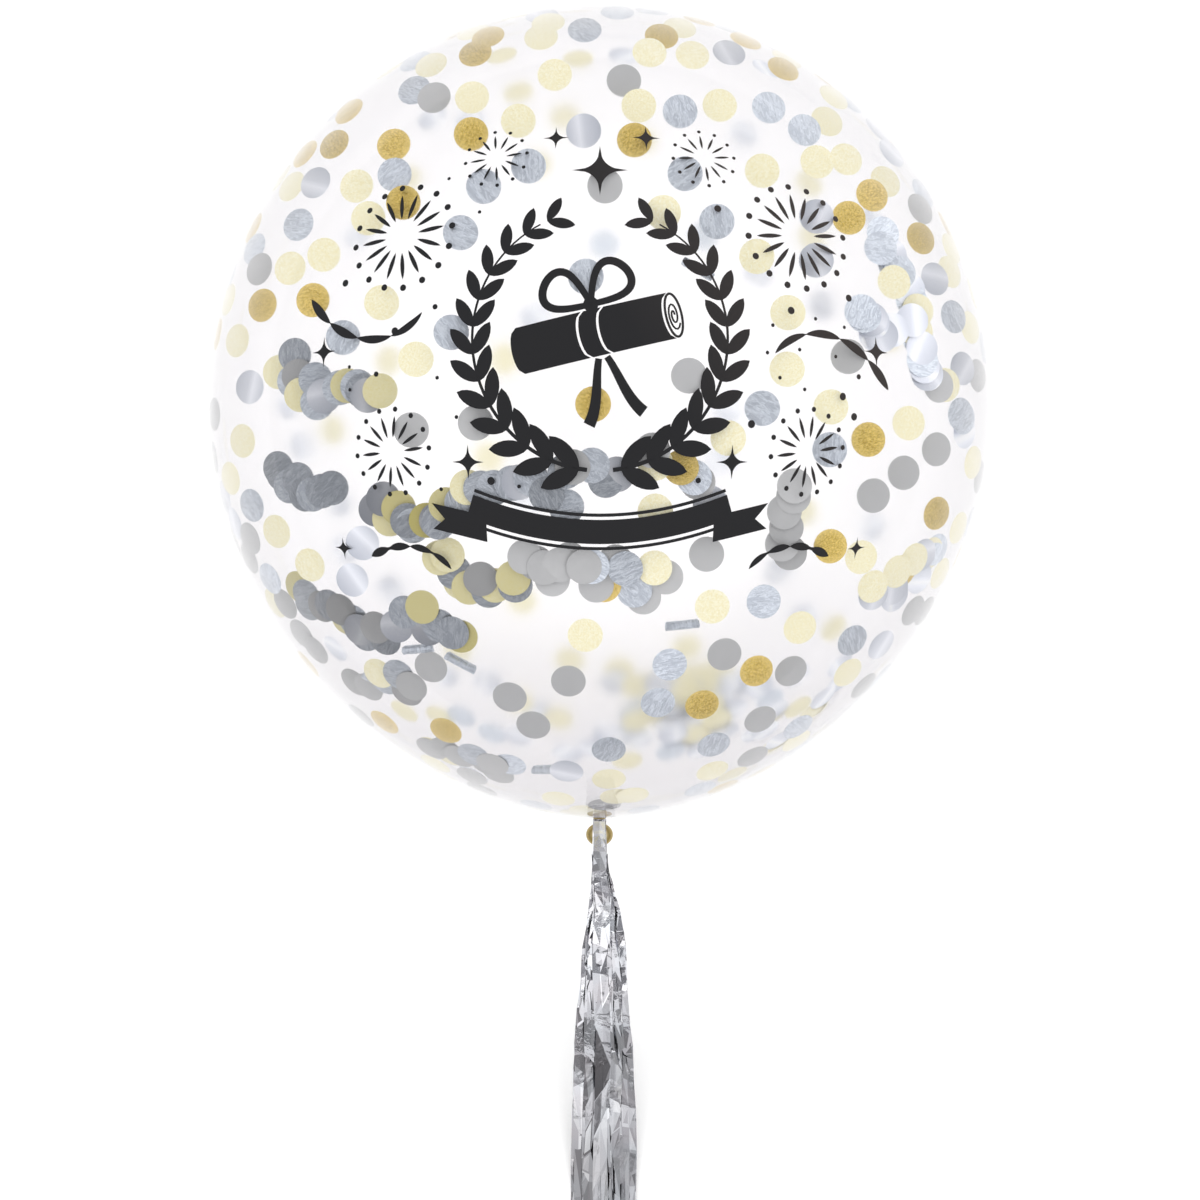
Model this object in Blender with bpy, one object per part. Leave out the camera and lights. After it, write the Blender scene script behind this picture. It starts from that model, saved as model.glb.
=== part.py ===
"""A giant clear latex balloon with a foil tassel, lying on its back on the floor.

Metres, +Z up. The floor is z = 0 and the origin is the middle of the small flat spot under the
balloon. +Y runs from the neck to the crown, and the side that faces +Z is the balloon's front.
"""
import math

import bmesh
import bpy
from mathutils import Vector

# Balloon, blown up
BALLOON_DIAMETER = 0.610
CROWN_REACH = 0.313          # from the widest station to the crown
NECK_REACH = 0.3205          # from the widest station to the root of the neck
REST_SPOT_RADIUS = 0.036     # the latex flattens a little where it lies
BALLOON_SIDES = 48
CROWN_RINGS = 12
NECK_SIDE_RINGS = 14

# The neck side of a blown-up balloon is a little more pointed than an ellipse, whose powers are 2
NECK_SIDE_LENGTH_POWER = 1.95
NECK_SIDE_WIDTH_POWER = 1.82

# Neck, knot and rolled rim, in unstretched latex
NECK_RADIUS = 0.0045
NECK_LENGTH = 0.0040         # room for the tassel's loop
KNOT_RADIUS = 0.0056
RIM_HALF_WIDTH = 0.0105      # the rim lies flat, its face to the front
RIM_HALF_LENGTH = 0.0090
RIM_ROLL_RADIUS = 0.0015
RIM_FILM_THICKNESS = 0.0014
KNOT_RINGS = 6
RIM_SIDES = 28
ROLL_STEPS = 8

# Foil tassel
TASSEL_LENGTH = 0.760        # along the strips, from the loop to the longest end
STRIP_COUNT = 12
STRIP_WIDTH = 0.0125
STRIP_THICKNESS = 0.0006
STRIP_SPACING = 0.0004       # air between one strip and the next one up
STRIP_UNEVENNESS = 0.0070    # step between the lengths of the cut ends
LOOP_WIDTH = 0.0026          # the foil loop round the neck
LOOP_SIDES = 24
HEAD_WIDTH = 0.0105          # the fold that lies over the knot
HEAD_THICKNESS = 0.0020
HEAD_FLARE = 0.0009          # the fold is this much wider where the strips leave it
HEAD_STATIONS = 12
STRIP_ROOT = 0.0060          # how far the strips run inside the fold
DROP_ANGLE = math.radians(66)    # how steeply the strips leave the neck
DROP_BEND_RADIUS = 0.010
GATHER_START = 0.015         # distances from the rim over which the strips fan out
GATHER_RUN = 0.185
GATHER_POWER = 1.4
HANGING_SPREAD = 0.0205      # sideways, from the tassel's middle to the middle of its outer strips
LYING_SPREAD = 0.0080        # what the strips spread further on the floor
LYING_SPREAD_RUN = 0.30
SIDE_DRIFT = 0.0030          # the whole tassel leans to one side by this much
STRIP_WANDER = 0.0016        # each strip's own slow sideways wave
STRIP_WANDER_LENGTH = 0.24
WIDTH_GAIN_RUN = 0.050       # the strips are pleated narrow at the head and open over this run
STRIP_STATIONS = 30
STATION_BUNCHING = 1.5       # above 1, the stations are closer together near the head
LENGTH_STEPS = 7             # the cut ends fall on this many different lengths
LENGTH_STRIDE = 5            # how many of those lengths lie between one strip and the next

# Between pieces that touch
CLEARANCE = 0.0003

# How finely the tassel's route is worked out
WALK_STEP = 0.0005

# Follow from the sizes above
BALLOON_RADIUS = BALLOON_DIAMETER / 2
AXIS_HEIGHT = math.sqrt(BALLOON_RADIUS ** 2 - REST_SPOT_RADIUS ** 2)
NECK_ROOT_Y = -NECK_REACH
RIM_START_Y = NECK_ROOT_Y - NECK_LENGTH
RIM_END_Y = RIM_START_Y - 2 * RIM_HALF_LENGTH
KNOT_Y = RIM_START_Y - KNOT_RADIUS
LOOP_Y = (NECK_ROOT_Y + RIM_START_Y) / 2
LOOP_INNER_RADIUS = NECK_RADIUS + CLEARANCE
HEAD_UNDERSIDE = max(KNOT_RADIUS, RIM_ROLL_RADIUS) + CLEARANCE
LOOP_OUTER_RADIUS = HEAD_UNDERSIDE + HEAD_THICKNESS / 2
LAYER_PITCH = STRIP_THICKNESS + STRIP_SPACING
BUNDLE_THICKNESS = LAYER_PITCH * (STRIP_COUNT - 1) + STRIP_THICKNESS

HEAD_RUN = LOOP_Y - RIM_END_Y + CLEARANCE
HEAD_END = HEAD_RUN + DROP_BEND_RADIUS * DROP_ANGLE
FAN_END = GATHER_START + GATHER_RUN

FULL_TURN = 2 * math.pi
GOLDEN_TURN = math.pi * (3 - math.sqrt(5))
SHARP_ANGLE = math.radians(35)


def clear_scene():
    """Starts from an empty scene."""
    for item in list(bpy.data.objects):
        bpy.data.objects.remove(item, do_unlink=True)


def make_material(name, colour, roughness, metallic):
    """Makes a plain Principled material."""
    material = bpy.data.materials.new(name)
    material.use_nodes = True
    shader = material.node_tree.nodes["Principled BSDF"]
    shader.inputs["Base Color"].default_value = (*colour, 1.0)
    shader.inputs["Roughness"].default_value = roughness
    shader.inputs["Metallic"].default_value = metallic
    return material


def join_rings(shape, near, far):
    """Lays faces between two rings of vertices; a ring of one vertex is a pole."""
    count = max(len(near), len(far))
    for step in range(count):
        after = (step + 1) % count
        if len(near) == 1:
            corners = [near[0], far[step], far[after]]
        elif len(far) == 1:
            corners = [near[after], near[step], far[0]]
        else:
            corners = [near[after], near[step], far[step], far[after]]
        shape.faces.new(corners)


def solid_through(rings):
    """Makes a closed solid through rings of points, with its open ends filled."""
    shape = bmesh.new()
    loops = [[shape.verts.new(point) for point in ring] for ring in rings]
    for near, far in zip(loops, loops[1:]):
        join_rings(shape, near, far)
    for end in (loops[0], loops[-1]):
        if len(end) > 2:
            shape.faces.new(end)
    bmesh.ops.recalc_face_normals(shape, faces=shape.faces)
    return shape


def place_object(name, shape, material):
    """Turns a mesh under construction into a named object in the scene."""
    mesh = bpy.data.meshes.new(name)
    shape.to_mesh(mesh)
    shape.free()
    mesh.materials.append(material)
    mesh.shade_smooth()
    mesh.set_sharp_from_angle(angle=SHARP_ANGLE)
    item = bpy.data.objects.new(name, mesh)
    bpy.context.scene.collection.objects.link(item)
    return item


def fuse(item, cutter):
    """Joins a helper shape to an object as one body."""
    cutter.hide_render = True
    cutter.display_type = "WIRE"
    union = item.modifiers.new("join " + cutter.name, "BOOLEAN")
    union.operation = "UNION"
    union.solver = "EXACT"
    union.object = cutter


def turned_ring(y, radius):
    """One ring round the balloon's axis, or its pole where the radius is nothing."""
    if radius <= 0:
        return [Vector((0, y, AXIS_HEIGHT))]
    ring = []
    for side in range(BALLOON_SIDES):
        angle = FULL_TURN * side / BALLOON_SIDES
        ring.append(Vector((radius * math.cos(angle), y, AXIS_HEIGHT + radius * math.sin(angle))))
    return ring


def crown_rings():
    """From the crown to the widest station: half an ellipse."""
    rings = [turned_ring(CROWN_REACH, 0)]
    for step in range(CROWN_RINGS - 1, -1, -1):
        angle = math.pi / 2 * step / CROWN_RINGS
        rings.append(turned_ring(CROWN_REACH * math.sin(angle), BALLOON_RADIUS * math.cos(angle)))
    return rings


def neck_side_radius(share):
    """The balloon's radius at a share of the way from the widest station to the neck."""
    return BALLOON_RADIUS * (1 - share ** NECK_SIDE_LENGTH_POWER) ** (1 / NECK_SIDE_WIDTH_POWER)


def neck_side_rings():
    """From the widest station down to the root of the neck."""
    rings = []
    for step in range(1, NECK_SIDE_RINGS):
        share = math.sin(math.pi / 2 * step / NECK_SIDE_RINGS)
        radius = neck_side_radius(share)
        if radius > NECK_RADIUS + KNOT_RADIUS:
            rings.append(turned_ring(-NECK_REACH * share, radius))
    return rings


def neck_and_knot_rings():
    """The short neck, then the round knot that it ends in."""
    rings = [turned_ring(NECK_ROOT_Y, NECK_RADIUS), turned_ring(RIM_START_Y, NECK_RADIUS)]
    start = math.asin(min(1, NECK_RADIUS / KNOT_RADIUS))
    for step in range(1, KNOT_RINGS):
        angle = start + (math.pi - start) * step / KNOT_RINGS
        rings.append(turned_ring(KNOT_Y + KNOT_RADIUS * math.cos(angle), KNOT_RADIUS * math.sin(angle)))
    rings.append(turned_ring(KNOT_Y - KNOT_RADIUS, 0))
    return rings


def flatten_rest_spot(shape):
    """Cuts the balloon flat where it lies on the floor."""
    everything = shape.verts[:] + shape.edges[:] + shape.faces[:]
    cut = bmesh.ops.bisect_plane(
        shape, geom=everything, plane_co=(0, 0, 0), plane_no=(0, 0, 1), clear_inner=True)
    rim = [edge for edge in cut["geom_cut"] if isinstance(edge, bmesh.types.BMEdge)]
    bmesh.ops.holes_fill(shape, edges=rim)
    bmesh.ops.recalc_face_normals(shape, faces=shape.faces)


def rim_section():
    """Half a section of the flattened rim, as (distance in from its edge, height) pairs."""
    meet = math.asin(RIM_FILM_THICKNESS / 2 / RIM_ROLL_RADIUS)
    section = []
    for step in range(ROLL_STEPS + 1):
        angle = (math.pi - meet) * (1 - 2 * step / ROLL_STEPS)
        inset = RIM_ROLL_RADIUS * (1 - math.cos(angle))
        section.append((inset, RIM_ROLL_RADIUS * math.sin(angle)))
    return section


def make_rim():
    """The neck's rolled rim, pressed flat: an oval disc of film with a thick rolled edge."""
    middle_y = RIM_START_Y - RIM_HALF_LENGTH
    film = RIM_FILM_THICKNESS / 2
    rings = [[Vector((0, middle_y, AXIS_HEIGHT + film))]]
    for inset, height in rim_section():
        ring = []
        for side in range(RIM_SIDES):
            angle = FULL_TURN * side / RIM_SIDES
            across = (RIM_HALF_WIDTH - inset) * math.cos(angle)
            along = (RIM_HALF_LENGTH - inset) * math.sin(angle)
            ring.append(Vector((across, middle_y + along, AXIS_HEIGHT + height)))
        rings.append(ring)
    rings.append([Vector((0, middle_y, AXIS_HEIGHT - film))])
    return solid_through(rings)


def make_balloon():
    """The blown-up balloon with its neck, knot and rolled rim, in one body."""
    latex = make_material("clear_latex", (0.93, 0.91, 0.92), 0.15, 0.0)
    shape = solid_through(crown_rings() + neck_side_rings() + neck_and_knot_rings())
    flatten_rest_spot(shape)
    balloon = place_object("balloon", shape, latex)
    fuse(balloon, place_object("rim", make_rim(), latex))


def drop_curve():
    """The catenary's own size, which carries the strips from the head's height to the floor."""
    bend_drop = DROP_BEND_RADIUS * (1 - math.cos(DROP_ANGLE))
    drop = AXIS_HEIGHT + HEAD_UNDERSIDE - bend_drop
    return drop / (1 / math.cos(DROP_ANGLE) - 1)


def route_angle(distance):
    """How steeply the strips run down, at a distance along them from the loop."""
    if distance < HEAD_RUN:
        return 0.0
    if distance < HEAD_END:
        return (distance - HEAD_RUN) / DROP_BEND_RADIUS
    curve = drop_curve()
    left = HEAD_END + curve * math.tan(DROP_ANGLE) - distance
    return math.atan(max(0.0, left) / curve)


def walk_route(distances):
    """Gives the place and slope of the tassel's underside at rising distances along it."""
    y = LOOP_Y
    z = AXIS_HEIGHT + HEAD_UNDERSIDE
    reached = 0.0
    places = []
    for distance in distances:
        steps = max(1, math.ceil((distance - reached) / WALK_STEP))
        stride = (distance - reached) / steps
        for step in range(steps):
            slope = route_angle(reached + (step + 0.5) * stride)
            y -= stride * math.cos(slope)
            z -= stride * math.sin(slope)
        reached = distance
        places.append((y, max(z, 0.0), route_angle(distance)))
    return places


def station_distances(start, end):
    """Stations along a strip, closer together where it bends over the rim."""
    distances = []
    for step in range(STRIP_STATIONS + 1):
        share = step / STRIP_STATIONS
        distances.append(start + (end - start) * share ** STATION_BUNCHING)
    return distances


def smooth_share(value):
    """Rises smoothly from 0 to 1."""
    share = min(1.0, max(0.0, value))
    return share * share * (3 - 2 * share)


def fan_spread(from_rim):
    """How far the outer strips are from the tassel's middle, at a distance out from the rim."""
    share = min(1.0, max(0.0, (from_rim - GATHER_START) / GATHER_RUN))
    hanging = HANGING_SPREAD * (1 - (1 - share) ** GATHER_POWER)
    return hanging + LYING_SPREAD * smooth_share((from_rim - FAN_END) / LYING_SPREAD_RUN)


def strip_middle(index, from_rim, distance):
    """The sideways place of a strip's middle: the outer strips lie lowest and fan out furthest."""
    side = 1 if index % 2 else -1
    pairs = STRIP_COUNT / 2
    outwards = 1 - (index // 2) / pairs
    opened = smooth_share(from_rim / FAN_END)
    phase = GOLDEN_TURN * index
    wander = STRIP_WANDER * math.sin(FULL_TURN * distance / STRIP_WANDER_LENGTH + phase)
    return side * outwards * fan_spread(from_rim) + opened * (SIDE_DRIFT + wander)


def section_corners(place, middle, width, low, high):
    """The four corners of a flat section across the route."""
    y, z, slope = place
    corners = []
    for across, up in ((-0.5, low), (0.5, low), (0.5, high), (-0.5, high)):
        x = middle + across * width
        corners.append(Vector((x, y - up * math.sin(slope), z + up * math.cos(slope))))
    return corners


def make_strip(index):
    """One foil strip, on its own layer above the route."""
    end = TASSEL_LENGTH - STRIP_UNEVENNESS * (index * LENGTH_STRIDE % LENGTH_STEPS)
    distances = station_distances(HEAD_END - STRIP_ROOT, end)
    low = LAYER_PITCH * index
    rings = []
    for distance, place in zip(distances, walk_route(distances)):
        from_rim = max(0.0, RIM_END_Y - place[0])
        opened = smooth_share(from_rim / WIDTH_GAIN_RUN)
        width = HEAD_WIDTH + (STRIP_WIDTH - HEAD_WIDTH) * opened
        middle = strip_middle(index, from_rim, distance)
        rings.append(section_corners(place, middle, width, low, low + STRIP_THICKNESS))
    return solid_through(rings)


def make_strips():
    """All the strips, one above the other and clear of each other."""
    shape = bmesh.new()
    for index in range(STRIP_COUNT):
        strip = make_strip(index)
        mesh = bpy.data.meshes.new("strip")
        strip.to_mesh(mesh)
        strip.free()
        shape.from_mesh(mesh)
        bpy.data.meshes.remove(mesh)
    return shape


def make_head():
    """The fold over the knot, growing into the thickness of the whole bundle."""
    distances = [HEAD_END * step / HEAD_STATIONS for step in range(HEAD_STATIONS + 1)]
    cover = STRIP_SPACING / 2
    rings = []
    for distance, place in zip(distances, walk_route(distances)):
        share = smooth_share(distance / HEAD_END)
        high = HEAD_THICKNESS + (BUNDLE_THICKNESS - HEAD_THICKNESS) * share
        width = HEAD_WIDTH + HEAD_FLARE * share
        rings.append(section_corners(place, 0.0, width, -cover * share, high + cover * share))
    return solid_through(rings)


def make_loop():
    """The foil loop round the neck, which carries the tassel."""
    half = LOOP_WIDTH / 2
    corners = ((LOOP_INNER_RADIUS, -half), (LOOP_OUTER_RADIUS, -half),
               (LOOP_OUTER_RADIUS, half), (LOOP_INNER_RADIUS, half))
    shape = bmesh.new()
    loops = []
    for side in range(LOOP_SIDES):
        angle = FULL_TURN * side / LOOP_SIDES
        loop = []
        for radius, along in corners:
            height = AXIS_HEIGHT + radius * math.sin(angle)
            loop.append(shape.verts.new((radius * math.cos(angle), LOOP_Y + along, height)))
        loops.append(loop)
    for near, far in zip(loops, loops[1:] + loops[:1]):
        join_rings(shape, near, far)
    bmesh.ops.recalc_face_normals(shape, faces=shape.faces)
    return shape


def make_tassel():
    """The foil tassel: a loop round the neck, a fold over the knot and the strips, in one body."""
    foil = make_material("silver_foil", (0.72, 0.72, 0.74), 0.22, 1.0)
    tassel = place_object("foil_tassel", make_head(), foil)
    fuse(tassel, place_object("strips", make_strips(), foil))
    fuse(tassel, place_object("loop", make_loop(), foil))


def main():
    clear_scene()
    make_balloon()
    make_tassel()


main()
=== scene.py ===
"""Dresses the clear confetti balloon and its foil tassel, seen from straight above as they lie.

Metres, +Z up. +Y runs from the neck to the crown, and the printed front faces +Z, to the camera.
"""

import math
import random

import bmesh
import bpy
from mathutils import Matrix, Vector


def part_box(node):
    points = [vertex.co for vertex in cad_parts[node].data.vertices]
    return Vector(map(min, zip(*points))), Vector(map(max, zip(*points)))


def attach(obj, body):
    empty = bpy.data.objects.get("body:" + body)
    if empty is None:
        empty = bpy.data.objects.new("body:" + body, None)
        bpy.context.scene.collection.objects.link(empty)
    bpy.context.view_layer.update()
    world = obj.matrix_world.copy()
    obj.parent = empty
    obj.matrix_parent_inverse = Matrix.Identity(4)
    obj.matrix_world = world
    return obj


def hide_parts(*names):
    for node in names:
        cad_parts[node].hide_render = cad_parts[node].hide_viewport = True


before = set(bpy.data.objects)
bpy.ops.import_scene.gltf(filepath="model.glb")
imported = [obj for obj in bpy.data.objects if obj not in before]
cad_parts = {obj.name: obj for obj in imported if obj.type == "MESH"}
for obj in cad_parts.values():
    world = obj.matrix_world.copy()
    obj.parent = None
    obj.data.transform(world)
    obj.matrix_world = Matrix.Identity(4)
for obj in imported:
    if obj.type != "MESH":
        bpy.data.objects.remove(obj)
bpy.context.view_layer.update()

# The photograph, in its own pixels
PHOTO_SIZE = 1200
BALLOON_MIDDLE_PX = (599.5, 408)     # the middle of the balloon's widest row
BALLOON_WIDTH_PX = 784

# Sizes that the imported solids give
BALLOON_LOW, BALLOON_HIGH = (Vector(corner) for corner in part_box("balloon"))
RADIUS = (BALLOON_HIGH.x - BALLOON_LOW.x) / 2
AXIS_HEIGHT = BALLOON_HIGH.z - RADIUS
CROWN_REACH = BALLOON_HIGH.y

# The neck side of the balloon, and its neck, knot and rim
NECK_REACH = 0.3205
NECK_SIDE_LENGTH_POWER = 1.95
NECK_SIDE_WIDTH_POWER = 1.82
NECK_RADIUS = 0.0045
NECK_LENGTH = 0.0040
KNOT_RADIUS = 0.0056
RIM_HALF_WIDTH = 0.0105
RIM_HALF_LENGTH = 0.0090
RIM_ROLL_RADIUS = 0.0015
RIM_FILM_THICKNESS = 0.0014
NECK_SIDES = 40
RIM_SIDES = 56

# Skin
SKIN_THICKNESS = 0.0003
SKIN_SIDES = 160
CROWN_SIDE_RINGS = 44
NECK_SIDE_RINGS = 52
AMBER_REACH = 0.040          # how far the unstretched latex's colour runs up from the neck
OUTSIDE_HAZE = (0.16, 0.20)  # roughness of the skin's outside, least and most
INSIDE_HAZE = (0.0, 0.02)
FILM_BEND = 1.26             # how much the film bends light

# Confetti
DISC_RADIUS = 0.0127
DISC_THICKNESS = 0.00014
DISC_SIDES = 24
FLAT_ROLL = 0.5              # one over the radius that a flat disc rolls to
ROLLED_UP = 300.0            # the same for a rolled one
ROLLED_RINGS = 5
LEAN_POWER = 5.0             # the higher, the more discs near the balloon's edge face the front
LEAN_POWER_AT_NECK = 2.0
DISC_GAP = 0.0009            # from the skin's outside to the first disc's middle
LAYER_STEP = 0.0007          # from one disc to the next one on top of it
CONFETTI_SEED = 24
LONE_DISCS_IN_FRONT = 190
LONE_DISCS_BEHIND = 42
LONE_SPACING = 0.0312
LONE_TRIES = 40000
LOWEST_LONE = 0.004          # none lies on the flat spot
LONE_ALONG = 0.985           # how far lone discs reach to the poles, to the sides, and to the
LONE_SIDEWAYS = 0.96         # sides of the far wall, as shares of the whole way
LONE_SIDEWAYS_BEHIND = 0.78
HEAPED_DISCS = 86
HEAP_MIDDLE = (0.075, -0.236)
HEAP_REACH = (0.120, 0.036)
HEAP_LIMIT = 0.29            # no heaped disc lies farther than this from the balloon's middle
FAR_PAINTED_LIGHT = 1.2               # the discs on the far wall are painted paler
OPEN_FRONT_PX = (590, 325)   # few discs cling behind the print
OPEN_FRONT_REACH_PX = (185, 120)
OPEN_FRONT_LEFT_OUT = 0.93   # the share of the discs there that is left out
# Painted shade from disc to disc in a bunch: how far each disc's painted light strays, and its limits
BUNCH_PAINTED_LIGHT_STEP = (-0.17, 0.19)
BUNCH_PAINTED_LIGHT_RANGE = (0.36, 1.28)
BUNCH_TILT = 0.025           # how far discs tilt at most, in radians
HEAP_TILT = 0.03
# Rolled discs are painted darker
ROLLED_PAINTED_SHADE = 0.85

# Print
INK_LIFT = 0.00020
INK_STEP = 0.006             # longest edge along a printed stroke

# Foil tassel, on the solids' route
TASSEL_LENGTH = 0.760
STRIP_WIDTH = 0.0125
FOIL_THICKNESS = 0.00012
STRIP_UNEVENNESS = 0.042
HEAD_WIDTH = 0.0105
HEAD_NARROWEST = 0.84        # shares of the head's width, at the loop and where the strips drop
HEAD_WIDEST = 0.95
HEAD_FACET = 0.011
HEAD_GAP = 0.0003
STRIP_ROOT = 0.0060
DROP_ANGLE = math.radians(66)
DROP_BEND_RADIUS = 0.010
GATHER_START = 0.015
GATHER_RUN = 0.185
GATHER_POWER = 1.4
HANGING_SPREAD = 0.0189
LYING_SPREAD = 0.0080
LYING_SPREAD_RUN = 0.30
SIDE_DRIFT = 0.0030
WIDTH_GAIN_RUN = 0.050
BUNDLE_THICKNESS = 0.0106
BUNDLE_TAPER = 0.78          # how much thinner the bundle is at its sides
STRIP_STRAY = 0.0015         # how far a whole strip lies beside its column
STRIP_WANDER = 0.0016        # how far it wanders along its way, and over what length
WANDER_LENGTH = 0.24
HEAD_COLUMN_STEP = 0.0014
HEAD_LIFT = 0.0006
HEAD_THICKNESS = 0.0018
FACET_ROLL = 0.17            # how much facets roll about the strip, in radians
RIDGE_RANGE = (-0.0012, 0.0014)
LAYER_STRAY = (-0.0007, 0.0012)
HEAD_LAYER_STRAY = (-0.0001, 0.0002)
FOIL_LOWEST = 0.0004
PAINTED_SHADE_FROM_Y = -0.62          # painted shade: the foil's colour is darker far out, and brightens over this run
PAINTED_SHADE_RUN = 0.14
WALK_STEP = 0.0005
TASSEL_SEED = 11

# Strips lie side by side in columns: a column's place across the fan, and how many strips it has
STRIP_COLUMNS = ((-1.0, 3), (1.0, 3), (-0.54, 5), (0.5, 5), (0.0, 7))
FACET_LENGTHS = (0.007, 0.012, 0.021, 0.034, 0.050)
FACET_CHANCES = (2, 3, 4, 4, 2)
SHARP_CREASES = 0.4          # the share of rows with a ridge along the middle
SHARED_PAINTED_LIGHT = 0.65           # the share of facets with the same painted brightness as the one beside them
ODD_FACETS = 0.16            # the share of facets that get a painted brightness of their own
FOLD_SLANT = 0.9             # how far a fold runs aslant, as a share of the shorter facet beside it
# Where below the rim the gathered strips get a painted glint, and how far to the right it reaches; right
# of that they get painted shade
GLINT_START = 0.0
GLINT_END = 0.048
GLINT_SIDE = 0.35

# The camera looks straight down from ten radii above the balloon's axis
CAMERA_DISTANCE = 10 * RADIUS
SENSOR_WIDTH = 36.0

ROOM_STRENGTH = 1.5
FLOOR_GLOW = 0.18            # the floor is a faint light table
FLOOR_REACH = 6.0
FLOOR_DROP = 0.0004

# Follow from the sizes above
NECK_ROOT_Y = -NECK_REACH
RIM_START_Y = NECK_ROOT_Y - NECK_LENGTH
RIM_END_Y = RIM_START_Y - 2 * RIM_HALF_LENGTH
KNOT_Y = RIM_START_Y - KNOT_RADIUS
LOOP_Y = (NECK_ROOT_Y + RIM_START_Y) / 2
HEAD_UNDERSIDE = KNOT_RADIUS + HEAD_GAP
HEAD_RUN = LOOP_Y - RIM_END_Y + HEAD_GAP
HEAD_END = HEAD_RUN + DROP_BEND_RADIUS * DROP_ANGLE
FAN_END = GATHER_START + GATHER_RUN
FULL_TURN = 2 * math.pi


# Shader and geometry nodes

class Signal:
    """One output of a node; plain arithmetic on it adds Math nodes."""

    def __init__(self, tree, socket):
        self.tree = tree
        self.socket = socket

    def out(self, name):
        """Another output of the same node."""
        return Signal(self.tree, self.socket.node.outputs[name])

    def math(self, operation, *values):
        """A Math node on the given values."""
        inputs = dict(enumerate(values))
        return self.tree.node("ShaderNodeMath", {"operation": operation}, inputs)

    def __add__(self, other):
        return self.math("ADD", self, other)

    def __radd__(self, other):
        return self.math("ADD", other, self)

    def __sub__(self, other):
        return self.math("SUBTRACT", self, other)

    def __rsub__(self, other):
        return self.math("SUBTRACT", other, self)

    def __mul__(self, other):
        return self.math("MULTIPLY", self, other)

    def __rmul__(self, other):
        return self.math("MULTIPLY", other, self)

    def __truediv__(self, other):
        return self.math("DIVIDE", self, other)

    def __rtruediv__(self, other):
        return self.math("DIVIDE", other, self)

    def __pow__(self, other):
        return self.math("POWER", self, other)

    def clamped(self):
        """The value kept between 0 and 1."""
        return self.tree.node("ShaderNodeClamp", {}, {"Value": self})


class Tree:
    """A node tree under construction."""

    def __init__(self, tree):
        self.tree = tree

    def node(self, kind, settings=None, inputs=None, output=0):
        """Adds a node: its settings first, then the values or links of its sockets."""
        item = self.tree.nodes.new(kind)
        for name, value in (settings or {}).items():
            if name == "stops":
                self.set_stops(item.color_ramp, value)
            else:
                setattr(item, name, value)
        for name, value in (inputs or {}).items():
            if isinstance(value, Signal):
                self.tree.links.new(value.socket, item.inputs[name])
            else:
                item.inputs[name].default_value = value
        return Signal(self, item.outputs[output]) if item.outputs else None

    def set_stops(self, ramp, stops):
        """Sets a colour ramp's stops, each a place and a grey value or a colour."""
        while len(ramp.elements) > 1:
            ramp.elements.remove(ramp.elements[-1])
        for index, (place, colour) in enumerate(stops):
            stop = ramp.elements[0] if index == 0 else ramp.elements.new(place)
            stop.position = place
            stop.color = (colour, colour, colour, 1) if isinstance(colour, (int, float)) else (*colour, 1)

    def mix(self, share, first, second):
        """Mixes two colours."""
        inputs = {0: share, 6: as_colour(first), 7: as_colour(second)}
        return self.node("ShaderNodeMix", {"data_type": "RGBA"}, inputs, 2)

    def multiply(self, first, second):
        """Multiplies two colours."""
        settings = {"data_type": "RGBA", "blend_type": "MULTIPLY"}
        return self.node("ShaderNodeMix", settings, {0: 1.0, 6: first, 7: second}, 2)

    def scale(self, colour, value):
        """Multiplies a colour by a value."""
        settings = {"operation": "SCALE"}
        return self.node("ShaderNodeVectorMath", settings, {0: colour, "Scale": value})

    def object_place(self):
        """The place on the piece, in metres."""
        return self.node("ShaderNodeTexCoord", output="Object")

    def attribute(self, name, output="Fac"):
        """An attribute that the piece's own mesh carries."""
        return self.node("ShaderNodeAttribute", {"attribute_name": name}, output=output)

    def stretched(self, place, size):
        """The place scaled by a different factor on each axis."""
        return self.node("ShaderNodeMapping", {}, {"Vector": place, "Scale": size})

    def noise(self, place, scale, detail=2.0, roughness=0.5, distortion=0.0):
        """Smooth noise between 0 and 1."""
        inputs = {"Vector": place, "Scale": scale, "Detail": detail,
                  "Roughness": roughness, "Distortion": distortion}
        return self.node("ShaderNodeTexNoise", {}, inputs)

    def ramp(self, value, *stops):
        """A colour ramp on a value."""
        return self.node("ShaderNodeValToRGB", {"stops": stops}, {0: value})

    def bump(self, height, distance, strength=1.0):
        """A bump that feeds a shader's normal."""
        inputs = {"Height": height, "Distance": distance, "Strength": strength}
        return self.node("ShaderNodeBump", {}, inputs)


def as_colour(value):
    """A plain colour gets its fourth number; a link stays as it is."""
    return value if isinstance(value, Signal) else (*value, 1.0)


def new_material(name):
    """An empty material and its node tree."""
    material = bpy.data.materials.new(name)
    material.use_nodes = True
    material.node_tree.nodes.clear()
    return material, Tree(material.node_tree)


def finish_material(tree, inputs):
    """Adds the Principled shader and the output."""
    shader = tree.node("ShaderNodeBsdfPrincipled", {}, inputs)
    tree.node("ShaderNodeOutputMaterial", {}, {"Surface": shader})
    return shader


# Small helpers

def clamp(value, low, high):
    """Keeps a number between two others."""
    return max(low, min(high, value))


def smooth_share(value):
    """Rises smoothly from 0 to 1."""
    share = clamp(value, 0.0, 1.0)
    return share * share * (3 - 2 * share)


def blend(first, second, share):
    """The number at a share of the way from one to another."""
    return first + (second - first) * share


def place_object(name, shape, material, smooth=True):
    """Turns a mesh under construction into an object in the scene."""
    mesh = bpy.data.meshes.new(name)
    shape.to_mesh(mesh)
    shape.free()
    if smooth:
        mesh.shade_smooth()
    else:
        mesh.shade_flat()
    mesh.materials.append(material)
    item = bpy.data.objects.new(name, mesh)
    bpy.context.scene.collection.objects.link(item)
    return item


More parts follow.
